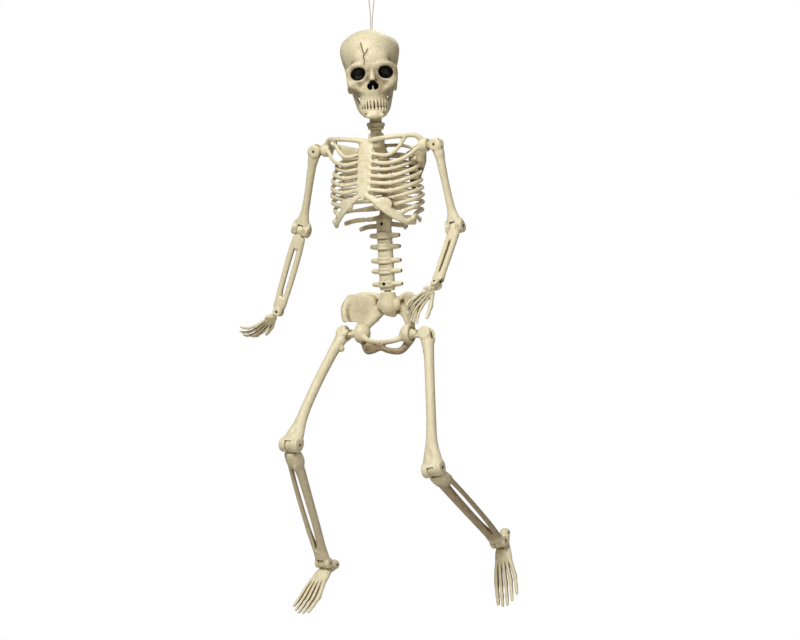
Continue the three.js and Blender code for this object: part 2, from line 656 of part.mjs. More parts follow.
function addArm(torso, name) {
  const side = SIDES[name];
  const pose = ARM_POSE[name];
  const [x, y, z] = SHOULDER_HUB_AT;
  const hub = addGroup(torso, [side * x, y, z], { x: pose.swing });
  addNode(hub, `shoulder_hub_${name}`, shoulderHub(side));
  const upper = addGroup(hub, [side * SHOULDER_PIVOT_OFFSET, 0, 0], { y: pose.raise });
  addNode(upper, `upper_arm_${name}`, upperArm(side));
  addNode(upper, `shoulder_screw_${name}`, screw('y', [0, 0, 0], 18 - 2 * GAP), steel);
  addNode(upper, `elbow_screw_${name}`, screw('x', [0, 0, -UPPER_ARM], 27 - 2 * GAP, side), steel);
  const lower = addGroup(upper, [0, 0, -UPPER_ARM], { x: pose.elbow });
  addNode(lower, `forearm_${name}`, forearm(side));
  addNode(lower, `wrist_screw_${name}`, screw('y', [0, 0, -FOREARM], 15 - 2 * GAP), steel);
  const palm = addGroup(lower, [0, 0, -FOREARM], { y: pose.wrist });
  addNode(palm, `hand_${name}`, hand(side, pose.twist));
}

// ---- Pelvis and legs ----------------------------------------------------------------------------------------

const HIP_BALL = 10;
const KNEE_RADIUS = 11.6;
const ANKLE_RADIUS = 8.5;

function pelvisHalf(side) {
  return join(
    // wing
    bone(mirrored(side, [[37, 6, 4, 3, 13], [39, 5, 18, 2.6, 23], [41, 4, 32, 2.4, 32], [41, 4, 46, 2.4, 31],
      [40, 5, 56, 2.8, 24]]), { wide: new THREE.Vector3(side * 0.62, 0.78, 0), sides: 8 }),
    // crest
    bone(mirrored(side, [[12, 16, 50, 4, 5], [26, 15, 59, 3.6, 4], [42, 8, 59.5, 3.6, 4], [55, -2, 54, 3.6, 4],
      [63, -12, 44, 3.8, 4.4], [64, -16, 31, 3.8, 4.6], [59, -13, 17, 3.8, 5], [48, -5, 7, 5, 6]]),
    { wide: Y_AXIS, sides: 6 }),
    // from the sacrum to the cup
    bone(mirrored(side, [[9, 18, 46, 6, 6], [27, 18, 35, 5, 5.5], [39, 13, 18, 5, 5.5], [41, 5, 3, 7, 7]]),
      { wide: Y_AXIS, sides: 6 }),
    // pubic bone
    bone(mirrored(side, [[38, -5, -3, 5, 6], [24, -11, -10, 4, 4], [8, -13, -13, 4, 4.4],
      [-1, -13, -15, 4, 5]]),
      { wide: Y_AXIS, sides: 6 }),
    // seat bone
    bone(mirrored(side, [[-1, -13, -20, 3.6, 4], [14, -11, -27, 3.6, 3.8], [30, -3, -27, 4.4, 5],
      [40, 5, -12, 6, 6]]),
      { wide: Y_AXIS, sides: 6 }),
    ball([side * HIP_CUP_X, 0, 0], [14, 15, 15]),
  );
}

function pelvis() {
  const sacrum = bone([[0, 8, 61.5, 12, 11], [0, 10, 50, 14, 12], [0, 18, 38, 12, 8], [0, 26, 27, 7, 5],
    [0, 30, 17, 4, 3.6]], { sides: 8 });
  const cups = Object.values(SIDES).flatMap((side) => [
    ball([side * HIP_CUP_X, 0, 0], [HIP_BALL + 1, HIP_BALL + 1, HIP_BALL + 1], { detail: 2 }),
    drum('x', [side * (HIP_CUP_X + 18), 0, 0], 10.4, 30, 12),
    block([side * (HIP_CUP_X + 36), 0, 0], [60, 34, 36]),
  ]);
  const [, waistY, waistZ] = HIP_FROM_WAIST.map((v) => -v);
  return cut(
    join(sacrum, ...Object.values(SIDES).map(pelvisHalf)),
    ...cups,
    drum('z', [0, waistY, waistZ], WAIST_PEG_RADIUS + WAIST_PLAY, 48, 12),
    drum('z', [0, waistY, waistZ - 16], 7.5 + WAIST_PLAY, 4 + 2 * WAIST_PLAY, 12),
    block([0, waistY, waistZ + 9.2], [40, 40, 20]),
  );
}

function hipHub(side) {
  const x = side * HIP_PIVOT_OFFSET;
  return cut(
    join(
      ball([0, 0, 0], [HIP_BALL, HIP_BALL, HIP_BALL], { detail: 2 }),
      drum('x', [side * 10, 0, 0], 6, 11, 12),
      block([side * 21.5, 0, 0], [17, 8, 11]),
      drum('y', [x, 0, 0], 8.5, 8, 12),
    ),
    drum('y', [x, 0, 0], PIN_HOLE_RADIUS, 30, 8),
  );
}

function thigh(side) {
  const shaft = bone(mirrored(side, [[0, 0, -6, 10, 9.2], [2, 0, -20, 9.5, 8.8], [3, -1, -42, 8, 8],
    [3.4, -3, -95, 7.6, 7.8], [2, -3, -145, 8, 8], [0.6, -2, -175, 9.8, 8.6], [0, -1, -194, 14, 9.6],
    [0, 0, -208, 16, 10.5]]), { sides: 8 });
  return cut(
    join(
      drum('y', [0, 0, 0], 11, 19.4, 12),
      shaft,
      drum('x', [0, 0, -THIGH], KNEE_RADIUS, 32.6, 12),
    ),
    block([0, 0, 10], [60, 8 + 2 * RUNNING_GAP, 41]),
    screwHole('y', [0, 0, 0], 20),
    block([0, 0, -THIGH - 18], [10 + 2 * RUNNING_GAP, 60, 60]),
    block([0, 14, -THIGH], [10 + 2 * RUNNING_GAP, 20, 36]),
    screwHole('x', [0, 0, -THIGH], 32, side),
  );
}

function shin(side) {
  const plateau = bone([[0, 0, -15.5, 15, 10], [0, 0, -19, 16, 10.8], [0, 0, -26, 15, 10.4],
    [0, 0, -33, 11, 8.5]],
    { sides: 8 });
  const knee = join(
    drum('x', [0, 0, 0], 9, 10, 12),
    block([0, 0, -10], [10, 11, 14]),
    cut(plateau, drum('x', [0, 0, 0], KNEE_RADIUS + 0.9, 60, 12)),
  );
  const tibia = bone(mirrored(side, [[-2, 0, -26, 11, 9], [-3.6, -1, -46, 8.6, 8], [-4.4, -2, -92, 7.4, 7.4],
    [-4.4, -1, -142, 6.8, 6.6], [-3, 0, -180, 7.8, 7], [-2, 0, -194, 9.4, 7.4]]), { sides: 8 });
  const fibula = bone(mirrored(side, [[9.4, 2, -27, 5, 5], [11.8, 3, -47, 4.2, 4.4], [12.2, 3, -97, 3.9, 4],
    [10.6, 2, -148, 4, 4.2], [8, 0, -182, 4.8, 5], [6, 0, -196, 5.4, 6]]), { sides: 6 });
  const ankle = join(
    bone([[0, 0, -186, 11, 7.8], [0, 0, -198, 12.5, 8.4], [0, 0, -SHIN + 2, 12, 7.8]], { sides: 8 }),
    drum('x', [0, 0, -SHIN], ANKLE_RADIUS, 24, 12),
  );
  return cut(
    join(knee, tibia, fibula, ankle),
    drum('x', [0, 0, 0], PIN_HOLE_RADIUS, 40, 8),
    block([0, 0, -SHIN - 15], [9.4 + 2 * RUNNING_GAP, 60, 48]),
    screwHole('x', [0, 0, -SHIN], 23, side),
  );
}

// Toes: [sideways offset at the ball of the foot, forward reach of the ball, sideways tip, forward reach of the tip].
const TOES = [
  [-14, -58, -13, -91], [-7, -61, -6.5, -95], [0, -61, 0.5, -95], [7, -57, 7.5, -89], [13.5, -51, 14.5, -80],
];

function foot(side) {
  const toes = TOES.map(([x, y, tipX, tipY], toe) => {
    const big = toe === 0 ? 1.15 : 1;
    return bone(mirrored(side, [
      [x * 0.6, -22, -14, 4.4, 5],
      [x * 0.85, (y - 22) / 2, -15, 3.1 * big, 3.6],
      [x, y, -20, 3.5 * big, 3.4 * big],
      [(x + tipX) / 2, (y + tipY) / 2, -20.5, 2.8 * big, 2.6 * big],
      [tipX, tipY, -22.5, 2.4 * big, 2 * big],
    ]), { sides: 5 });
  });
  const heel = bone([[0, 23, -21, 7.4, 7.5], [0, 13, -19, 8.6, 8], [0, 0, -15, 10, 6.5], [0, -14, -14, 12.5, 6],
    [0, -26, -15, 12.5, 5]], { sides: 8 });
  const talus = join(
    drum('x', [0, 0, 0], 8, 9.4, 12),
    block([0, 0, -8], [9.4, 14, 14]),
  );
  return cut(
    join(heel, talus, ...toes),
    drum('x', [0, 0, 0], PIN_HOLE_RADIUS, 40, 8),
    cut(drum('x', [0, 0, 0], ANKLE_RADIUS + 0.6, 60, 12), block([0, 0, 0], [9.4, 60, 60])),
  );
}

function addLeg(pelvisGroup, name) {
  const side = SIDES[name];
  const pose = LEG_POSE[name];
  const hub = addGroup(pelvisGroup, [side * HIP_CUP_X, 0, 0], { x: pose.swing });
  addNode(hub, `hip_hub_${name}`, hipHub(side));
  const upper = addGroup(hub, [side * HIP_PIVOT_OFFSET, 0, 0], { y: pose.spread });
  addNode(upper, `thigh_${name}`, thigh(side));
  addNode(upper, `hip_screw_${name}`, screw('y', [0, 0, 0], 20 - 2 * GAP), steel);
  addNode(upper, `knee_screw_${name}`, screw('x', [0, 0, -THIGH], 32 - 2 * GAP, side), steel);
  const lower = addGroup(upper, [0, 0, -THIGH], { x: pose.knee });
  addNode(lower, `shin_${name}`, shin(side));
  addNode(lower, `ankle_screw_${name}`, screw('x', [0, 0, -SHIN], 23 - 2 * GAP, side), steel);
  const sole = addGroup(lower, [0, 0, -SHIN], { x: pose.ankle });
  addNode(sole, `foot_${name}`, foot(side));
}

function addPelvis(torso) {
  torso.updateWorldMatrix(true, false);
  const waist = new THREE.Vector3(...WAIST).applyMatrix4(torso.matrixWorld);
  const turn = new THREE.Euler(0, degrees(PELVIS_ROLL), degrees(PELVIS_YAW), 'ZYX');
  const hips = new THREE.Vector3(...HIP_FROM_WAIST).applyEuler(turn).add(waist);
  const group = addGroup(figure, hips.toArray(), { z: PELVIS_YAW, y: PELVIS_ROLL });
  addNode(group, 'pelvis', pelvis());
  return group;
}

// ---- Assembly -----------------------------------------------------------------------------------------------

addHead();
addString();
const torso = addTorso();
addArm(torso, 'right');
addArm(torso, 'left');
const pelvisGroup = addPelvis(torso);
addLeg(pelvisGroup, 'right');
addLeg(pelvisGroup, 'left');

export default figure;
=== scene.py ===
"""Looks for a hanging plastic skeleton figure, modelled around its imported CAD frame.

Every bone is moulded as a signed distance field on a grid, in millimetres of its own body's frame (x to the
figure's left, y to its back, z up), and then turned into a mesh that rides on that body.
"""
import json
import math

import bpy
import numpy as np
import openvdb
from mathutils import Matrix, Vector


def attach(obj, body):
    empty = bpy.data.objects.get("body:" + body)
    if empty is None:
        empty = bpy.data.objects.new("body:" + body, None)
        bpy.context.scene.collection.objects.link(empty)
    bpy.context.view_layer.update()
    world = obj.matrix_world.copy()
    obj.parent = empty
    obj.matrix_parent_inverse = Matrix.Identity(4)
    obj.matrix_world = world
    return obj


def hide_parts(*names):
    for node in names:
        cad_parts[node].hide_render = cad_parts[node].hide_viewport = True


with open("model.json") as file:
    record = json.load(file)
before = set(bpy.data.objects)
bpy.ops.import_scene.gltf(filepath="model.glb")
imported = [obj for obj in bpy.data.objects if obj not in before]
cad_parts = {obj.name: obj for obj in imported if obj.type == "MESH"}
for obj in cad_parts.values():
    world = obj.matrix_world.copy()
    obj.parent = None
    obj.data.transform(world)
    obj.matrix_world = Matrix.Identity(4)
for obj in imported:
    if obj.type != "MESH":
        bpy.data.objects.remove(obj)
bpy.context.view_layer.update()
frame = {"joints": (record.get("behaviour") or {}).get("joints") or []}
MM = 0.001
GAP = 0.35  # mm, between two pieces that only just clear each other
PLAY = 0.5  # mm, beside a tongue in its fork
HOLE = 1.9  # radius of every screw hole
POCKET = 2.7  # radius of the recess that a screw's head sinks in
SCREW = 1.5
SCREW_HEAD = (2.45, 1.5)  # radius and height
FAR = 9.0  # mm, the distance past which the fields aren't followed
COARSE = 1.0
SIDES = {"right": -1, "left": 1}
JOINTS = {joint["name"]: joint for joint in frame["joints"]}


# ---- Frames of the bodies, read from the joints ----

def joint_at(name):
    return np.array(JOINTS[name]["pos_m"])


def joint_axis(name):
    axis = np.array(JOINTS[name]["axis"], float)
    return axis / np.linalg.norm(axis)


def placement(origin, x_axis=None, y_axis=None):
    """(origin in metres, 3x3 matrix whose columns are the body's own axes). A missing y axis is level."""
    if y_axis is None:
        y_axis = np.cross((0, 0, 1), x_axis)
        y_axis /= np.linalg.norm(y_axis)
    if x_axis is None:
        x_axis = np.cross(y_axis, (0, 0, 1))
        x_axis /= np.linalg.norm(x_axis)
    return np.array(origin), np.column_stack([x_axis, y_axis, np.cross(x_axis, y_axis)])


def turned(place, about, degrees):
    """The placement turned about one of its own axes, 'X', 'Y' or 'Z'."""
    origin, axes = place
    return origin, axes @ np.array(Matrix.Rotation(math.radians(degrees), 3, about))


def shifted(place, offset_mm):
    origin, axes = place
    return origin + axes @ np.array(offset_mm) * MM, axes


JAW_PIVOT = (0, 4, -86)  # mm, in the head's frame
JAW_PIN_X = 31  # sideways, of the middle of each of the jaw's two screws
TORSO = placement(joint_at("head_nod"), joint_axis("head_nod"))
HEAD = placement(joint_at("jaw_open"), joint_axis("jaw_open"))
HEAD = shifted(HEAD, [-v for v in JAW_PIVOT])
PELVIS = placement((joint_at("hip_swing_left") + joint_at("hip_swing_right")) / 2,
                   joint_axis("hip_swing_left"))
ANKLE_REST = {"right": 7, "left": 15}  # degrees that the sole points down at rest
WRIST_REST = {"right": 33, "left": 36}
HAND_TWIST = {"right": 147, "left": 166}


def distance_mm(joint_a, joint_b):
    return float(np.linalg.norm(joint_at(joint_a) - joint_at(joint_b))) / MM


def limb_frames(side):
    """Placement of each limb body of one side, with z up its straight bone."""
    frames = {
        "shoulder": placement(joint_at(f"shoulder_swing_{side}"), joint_axis(f"shoulder_swing_{side}"),
                              joint_axis(f"shoulder_raise_{side}")),
        "upper_arm": placement(joint_at(f"shoulder_raise_{side}"), joint_axis(f"elbow_{side}"),
                               joint_axis(f"shoulder_raise_{side}")),
        "forearm": placement(joint_at(f"elbow_{side}"), joint_axis(f"elbow_{side}"),
                             joint_axis(f"wrist_{side}")),
        "hip": placement(joint_at(f"hip_swing_{side}"), joint_axis(f"hip_swing_{side}"),
                         joint_axis(f"hip_spread_{side}")),
        "thigh": placement(joint_at(f"hip_spread_{side}"), joint_axis(f"knee_{side}"),
                           joint_axis(f"hip_spread_{side}")),
    }
    shin_up = joint_at(f"knee_{side}") - joint_at(f"ankle_{side}")
    knee_axis = joint_axis(f"knee_{side}")
    frames["shin"] = placement(joint_at(f"knee_{side}"), knee_axis,
                               np.cross(shin_up / np.linalg.norm(shin_up), knee_axis))
    wrist = placement(joint_at(f"wrist_{side}"), joint_axis(f"elbow_{side}"), joint_axis(f"wrist_{side}"))
    frames["hand"] = turned(wrist, "Y", WRIST_REST[side])
    frames["foot"] = turned((joint_at(f"ankle_{side}"), frames["shin"][1]), "X", ANKLE_REST[side])
    return frames


# ---- Clay: signed distance fields ----

class Shape:
    """A box in mm and a function giving the distance to a surface, negative inside."""

    def __init__(self, low, high, distance):
        self.low = np.array(low, float)
        self.high = np.array(high, float)
        self.distance = distance


def spline(rows, longest):
    """Points of a Catmull-Rom curve through the rows, with no two further apart than longest."""
    rows = np.array(rows, float)
    padded = np.vstack([2 * rows[0] - rows[1], rows, 2 * rows[-1] - rows[-2]])
    found = []
    for p0, p1, p2, p3 in zip(padded, padded[1:], padded[2:], padded[3:]):
        count = max(1, math.ceil(np.linalg.norm((p2 - p1)[:3]) / longest))
        for t in np.arange(count) / count:
            found.append(0.5 * (2 * p1 + (p2 - p0) * t + (2 * p0 - 5 * p1 + 4 * p2 - p3) * t * t
                                + (3 * p1 - p0 - 3 * p2 + p3) * t ** 3))
    found.append(rows[-1])
    return np.array(found)


def segment(a, b, wide_axis):
    """A stretch of tube from row a to row b, each x, y, z, half width along the wide axis, half depth."""
    start, run = a[:3], b[:3] - a[:3]
    length = max(np.linalg.norm(run), 1e-6)
    along = run / length
    across = wide_axis - along * (wide_axis @ along)
    across /= np.linalg.norm(across)
    deep = np.cross(along, across)

    def distance(x, y, z):
        px, py, pz = x - start[0], y - start[1], z - start[2]
        t = np.clip((px * along[0] + py * along[1] + pz * along[2]) / length, 0, 1)
        px, py, pz = px - run[0] * t, py - run[1] * t, pz - run[2] * t
        wide = a[3] + (b[3] - a[3]) * t
        tall = a[4] + (b[4] - a[4]) * t
        least = np.minimum(wide, tall)
        u = (px * across[0] + py * across[1] + pz * across[2]) / wide
        v = (px * deep[0] + py * deep[1] + pz * deep[2]) / tall
        w = (px * along[0] + py * along[1] + pz * along[2]) / least
        size = np.sqrt(u * u + v * v + w * w) + 1e-6
        slope = np.sqrt((u / wide) ** 2 + (v / tall) ** 2 + (w / least) ** 2) + 1e-6
        return size * (size - 1) / slope

    reach = max(a[3], a[4], b[3], b[4])
    return Shape(np.minimum(a[:3], b[:3]) - reach, np.maximum(a[:3], b[:3]) + reach, distance)


X_AXIS, Y_AXIS, Z_AXIS = np.eye(3)


def tube(stations, wide=X_AXIS, fine=4.0):
    """A smooth tube through stations of x, y, z, half width along the wide axis, half depth."""
    rows = spline(stations, fine)
    rows[:, 3:] = np.maximum(rows[:, 3:], 0.2)
    return [segment(a, b, np.array(wide, float)) for a, b in zip(rows, rows[1:])]


def thread(points, radius, fine=2.0):
    """A round tube of one radius through points."""
    return tube([(*p, radius, radius) for p in points], wide=(0.31, 0.55, 0.77), fine=fine)


def mirrored(side, stations):
    """Stations drawn for the figure's left, moved to its right when side is -1."""
    return [(side * row[0], *row[1:]) for row in stations]


def half_space(axis, limit, keep_below):
    """Everything past a plane, for carving away: above limit when keep_below, and below it otherwise."""
    k = "xyz".index(axis)
    sign = 1 if keep_below else -1
    low, high = np.full(3, -400.0), np.full(3, 400.0)
    (low if keep_below else high)[k] = limit
    return [Shape(low, high, lambda x, y, z: sign * (limit - (x, y, z)[k]) + 0 * (x + y + z))]


def stack(sections):
    """A closed form through level sections of z, half width, front y, back y, with the top first."""
    rows = spline([(z, half, (front + back) / 2,
                    (back - front) / (2 * half)) for z, half, front, back in sections],
                  3.0)[::-1]
    widest = rows[:, 1].max()
    heights = rows[:, 0]
    top_slope = (rows[-1, 1] ** 2 - rows[-2, 1] ** 2) / (heights[-1] - heights[-2])

    def distance(x, y, z):
        square = np.interp(z, heights, rows[:, 1] ** 2)
        square = np.where(z > heights[-1], rows[-1, 1] ** 2 + top_slope * (z - heights[-1]), square)
        middle = np.interp(z, heights, rows[:, 2])
        ratio = np.interp(z, heights, rows[:, 3])
        form = (x * x + ((y - middle) / ratio) ** 2 - square) / widest ** 2
        step = np.ravel(x)[1] - np.ravel(x)[0]
        slope = np.sqrt(sum(g * g for g in np.gradient(form, step)))
        return form / np.maximum(slope, 1e-4)

    half = rows[:, 1].max()
    deep = (rows[:, 1] * rows[:, 3]).max()
    return [Shape((-half, rows[:, 2].min() - deep, heights[0] - 3),
                  (half, rows[:, 2].max() + deep, 4), distance)]


def ball(centre, radii, turn_z=0.0, turn_y=0.0):
    """An ellipsoid, turned about y and then z."""
    turn = np.array(Matrix.Rotation(math.radians(turn_z), 3,
                                    "Z") @ Matrix.Rotation(math.radians(turn_y), 3, "Y"))
    radii = np.array(radii, float)

    def distance(x, y, z):
        p = [x - centre[0], y - centre[1], z - centre[2]]
        q = [sum(turn[row][column] * p[row] for row in range(3)) for column in range(3)]
        size = np.sqrt(sum((q[i] / radii[i]) ** 2 for i in range(3))) + 1e-6
        slope = np.sqrt(sum((q[i] / radii[i] ** 2) ** 2 for i in range(3))) + 1e-6
        return size * (size - 1) / slope

    reach = radii.max()
    return [Shape(np.array(centre) - reach, np.array(centre) + reach, distance)]


def block(centre, size, rounding=0.6):
    half = np.array(size, float) / 2 - rounding

    def distance(x, y, z):
        q = [np.abs(x - centre[0]) - half[0], np.abs(y - centre[1]) - half[1],
             np.abs(z - centre[2]) - half[2]]
        outside = np.sqrt(sum(np.maximum(v, 0) ** 2 for v in q))
        inside = np.minimum(np.maximum(np.maximum(q[0], q[1]), q[2]), 0)
        return outside + inside - rounding

    half_size = np.array(size, float) / 2
    return [Shape(np.array(centre) - half_size, np.array(centre) + half_size, distance)]


def drum(axis, centre, radius, length, rounding=0.6):
    """A round-edged cylinder along 'x', 'y' or 'z'."""
    k = "xyz".index(axis)

    def distance(x, y, z):
        p = [x - centre[0], y - centre[1], z - centre[2]]
        radial = np.sqrt(sum(p[i] ** 2 for i in range(3) if i != k)) - radius + rounding
        axial = np.abs(p[k]) - length / 2 + rounding
        outside = np.sqrt(np.maximum(radial, 0) ** 2 + np.maximum(axial, 0) ** 2)
        return outside + np.minimum(np.maximum(radial, axial), 0) - rounding

    reach = np.full(3, float(radius))
    reach[k] = length / 2
    return [Shape(np.array(centre) - reach, np.array(centre) + reach, distance)]


class Clay:
    """A signed distance field that shapes are added to and carved from, with soft blends."""

    def __init__(self, low, high, step):
        self.step = step * COARSE
        self.low = np.array(low, float)
        counts = np.ceil((np.array(high) - self.low) / self.step).astype(int) + 1
        self.value = np.full(counts, FAR, np.float32)

    def window(self, low, high):
        first = np.clip(np.floor((low - self.low) / self.step).astype(int), 0, self.value.shape)
        last = np.clip(np.ceil((high - self.low) / self.step).astype(int) + 1, 0, self.value.shape)
        return tuple(slice(a, max(a, b)) for a, b in zip(first, last))

    def grid(self, window):
        """Open grids of x, y and z, in mm, over a window."""
        return [(self.low[i] + np.arange(window[i].start,
                                         window[i].stop) * self.step).astype(np.float32).reshape(
            [-1 if i == j else 1 for j in range(3)]) for i in range(3)]

    def field(self, shapes, margin):
        """The window that the shapes reach, and their joint distance there."""
        low = np.min([s.low for s in shapes], axis=0) - margin
        high = np.max([s.high for s in shapes], axis=0) + margin
        window = self.window(low, high)
        found = np.full([w.stop - w.start for w in window], FAR, np.float32)
        for shape in shapes:
            part = self.window(shape.low - margin, shape.high + margin)
            inner = tuple(slice(p.start - w.start, p.stop - w.start) for p, w in zip(part, window))
            if found[inner].size:
                np.minimum(found[inner], shape.distance(*self.grid(part)), out=found[inner])
        return window, found

    def add(self, shapes, blend=2.0):
        window, fresh = self.field(shapes, blend + 5)
        self.value[window] = soft_minimum(self.value[window], fresh, blend)

    def carve(self, shapes, blend=0.8):
        window, fresh = self.field(shapes, blend + 5)
        self.value[window] = -soft_minimum(-self.value[window], fresh, blend)

    def sample(self, points):
        """The field at points in mm, by linear interpolation."""
        where = (points - self.low) / self.step
        where = np.clip(where, 0, np.array(self.value.shape) - 1.001)
        base = where.astype(int)
        part = where - base
        total = np.zeros(len(points))
        for corner in np.ndindex(2, 2, 2):
            weight = np.prod(np.where(corner, part, 1 - part), axis=1)
            total += weight * self.value[tuple((base + corner).T)]
        return total

    def normals(self, points):
        step = self.step
        slopes = np.stack([self.sample(points + step * axis) - self.sample(points - step * axis)
                           for axis in np.eye(3)], axis=1)
        return slopes / np.maximum(np.linalg.norm(slopes, axis=1, keepdims=True), 1e-6)

    def copy(self):
        other = Clay.__new__(Clay)
        other.step, other.low, other.value = self.step, self.low, self.value.copy()
        return other


def soft_minimum(a, b, blend):
    mix = np.clip(0.5 + 0.5 * (b - a) / blend, 0, 1)
    return b + (a - b) * mix - blend * mix * (1 - mix)


# ---- Meshes ----

OCCLUSION_REACHES = (1.6, 3.2, 6.0)  # mm out from the surface


def add_attribute(mesh, name, values):
    mesh.attributes.new(name, "FLOAT", "POINT").data.foreach_set("value", np.asarray(values, np.float32))


def mould(name, clay, place, body, material, paint_and_shade_layers=None):
    """Turns the clay into a piece that stands for the CAD node of its name.

    The layers of black paint and brown painted shade are functions of points in mm, and each becomes an
    attribute that the material reads.
    """
    band = 3 * clay.step
    grid = openvdb.FloatGrid(band)
    grid.copyFromArray(np.clip(clay.value, -band, band))
    points, _, quads = grid.convertToPolygons(0.0)
    local = clay.low + points.astype(float) * clay.step
    normals = clay.normals(local)
    local = local - normals * clay.sample(local)[:, None] * 0.5
    recess = np.mean([np.clip(1 - clay.sample(local + normals * reach) / reach, 0, 1)
                      for reach in OCCLUSION_REACHES], axis=0)
    ridge = np.clip(1 + clay.sample(local - normals * 1.5) / 1.5, 0, 1)
    origin, axes = place
    mesh = bpy.data.meshes.new(name)
    mesh.vertices.add(len(local))
    mesh.vertices.foreach_set("co", (origin + local @ axes.T * MM).astype(np.float32).ravel())
    mesh.loops.add(quads.size)
    mesh.loops.foreach_set("vertex_index", quads.astype(np.int32).ravel())
    mesh.polygons.add(len(quads))
    mesh.polygons.foreach_set("loop_start", np.arange(0, quads.size, 4, dtype=np.int32))
    mesh.update(calc_edges=True)
    mesh.polygons.foreach_set("use_smooth", np.ones(len(quads), bool))
    add_attribute(mesh, "recess", recess)
    add_attribute(mesh, "ridge", ridge)
    for layer_name, tint in (paint_and_shade_layers or {}).items():
        add_attribute(mesh, layer_name, tint(local))
    mesh.materials.append(material)
    return show(name, mesh, body)


def show(name, mesh, body):
    """A piece named after the CAD node that it stands for."""
    piece = bpy.data.objects.new(f"{name}_detail", mesh)
    bpy.context.collection.objects.link(piece)
    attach(piece, body)
    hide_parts(name)
    return piece


def mould_bone(name, clay, place, body, paint_and_shade_layers=None):
    return mould(name, clay, place, body, BONE, paint_and_shade_layers)


# ---- Camera, floor and light ----

def add_camera():
    camera = bpy.data.cameras.new("camera")
    camera.lens = 266.4
    camera.sensor_width = 36
    camera.clip_end = 30
    holder = bpy.data.objects.new("camera", camera)
    holder.location = (0.0434, -9.0, -0.5034)
    holder.rotation_euler = (math.radians(90), 0, 0)
    bpy.context.collection.objects.link(holder)
    bpy.context.scene.camera = holder


def add_area_light(name, location, size, watts, colour):
    lamp = bpy.data.lights.new(name, "AREA")
    lamp.size = size
    lamp.energy = watts
    lamp.color = colour
    holder = bpy.data.objects.new(name, lamp)
    holder.location = location
    aim = Vector((0, 0, -0.5)) - Vector(location)
    holder.rotation_euler = aim.to_track_quat("-Z", "Y").to_euler()
    bpy.context.collection.objects.link(holder)


def add_world():
    """White where the camera looks past the figure, and a low even fill everywhere else."""
    world = bpy.data.worlds.new("studio")
    bpy.context.scene.world = world
    world.use_nodes = True
    nodes, links = world.node_tree.nodes, world.node_tree.links
    shown = nodes["Background"]
    shown.inputs["Color"].default_value = (1, 1, 1, 1)
    shown.inputs["Strength"].default_value = 1
    fill = nodes.new("ShaderNodeBackground")
    fill.inputs["Color"].default_value = (1, 0.93, 0.82, 1)
    fill.inputs["Strength"].default_value = FILL
    rays = nodes.new("ShaderNodeLightPath")
    mix = nodes.new("ShaderNodeMixShader")
    links.new(rays.outputs["Is Camera Ray"], mix.inputs[0])
    links.new(fill.outputs[0], mix.inputs[1])
    links.new(shown.outputs[0], mix.inputs[2])
    links.new(mix.outputs[0], nodes["World Output"].inputs["Surface"])


def add_floor():
    """A pale disc under the figure, small enough to stay out of the first view."""
    sides = 96
    rim = [(FLOOR_RADIUS * math.cos(2 * math.pi * i / sides),
            FLOOR_RADIUS * math.sin(2 * math.pi * i / sides),
            FLOOR_Z) for i in range(sides)]
    mesh = bpy.data.meshes.new("floor")
    mesh.from_pydata(rim, [], [range(sides)])
    material = bpy.data.materials.new("pale_floor")
    material.use_nodes = True
    shader = material.node_tree.nodes["Principled BSDF"]
    shader.inputs["Base Color"].default_value = (0.62, 0.59, 0.54, 1)
    shader.inputs["Roughness"].default_value = 0.7
    mesh.materials.append(material)
    floor = bpy.data.objects.new("floor", mesh)
    bpy.context.collection.objects.link(floor)


FILL = 0.17
FLOOR_Z = -1.35
FLOOR_RADIUS = 3.0
bpy.context.scene.view_settings.view_transform = "Standard"
add_camera()
add_world()
add_floor()
add_area_light("key", (-1.0, -2.1, 2.0), 0.8, 103, (1, 0.985, 0.95))
add_area_light("front_fill", (1.4, -3.0, 0.3), 1.6, 13, (1, 0.94, 0.86))
add_area_light("back_light", (0.6, 2.4, 0.9), 1.2, 26, (1, 0.99, 0.97))


# ---- Materials ----

class Nodes:
    """Short calls for building one material's nodes."""

    def __init__(self, name):
        self.material = bpy.data.materials.new(name)
        self.material.use_nodes = True
        self.tree = self.material.node_tree
        self.shader = self.tree.nodes["Principled BSDF"]

    def add(self, kind, inputs=(), **settings):
        node = self.tree.nodes.new("ShaderNode" + kind)
        for key, value in settings.items():
            setattr(node, key, value)
        for key, value in dict(inputs).items():
            self.put(node.inputs[key], value)
        return node

    def put(self, socket, value):
        if isinstance(value, bpy.types.NodeSocket):
            self.tree.links.new(value, socket)
        else:
            socket.default_value = value

    def noise(self, scale, detail=4.0, roughness=0.5, where=None):
        inputs = {"Scale": scale, "Detail": detail, "Roughness": roughness}
        if where is not None:
            inputs["Vector"] = where
        return self.add("TexNoise", inputs).outputs["Fac"]

    def attribute(self, name):
        return self.add("Attribute", attribute_name=name).outputs["Fac"]

    def maths(self, operation, a, b):
        return self.add("Math", {0: a, 1: b}, operation=operation).outputs[0]

    def ranged(self, value, low, high, to_low=0.0, to_high=1.0):
        inputs = {"Value": value, "From Min": low, "From Max": high, "To Min": to_low, "To Max": to_high}
        return self.add("MapRange", inputs, clamp=True).outputs[0]

    def blend(self, amount, a, b):
        """Colour a where amount is 0, and b where it is 1."""
        node = self.add("Mix", data_type="RGBA")
        for index, value in ((0, amount), (6, a), (7, b)):
            self.put(node.inputs[index], value)
        return node.outputs[2]

    def bump(self, height, strength, distance, under=None):
        inputs = {"Height": height, "Strength": strength, "Distance": distance}
        if under is not None:
            inputs["Normal"] = under
        return self.add("Bump", inputs).outputs[0]


def linear(red, green, blue):
    """A colour given as 0 to 255 screen values."""
    found = [v / 255 for v in (red, green, blue)]
    return (*[v / 12.92 if v <= 0.04045 else ((v + 0.055) / 1.055) ** 2.4 for v in found], 1)


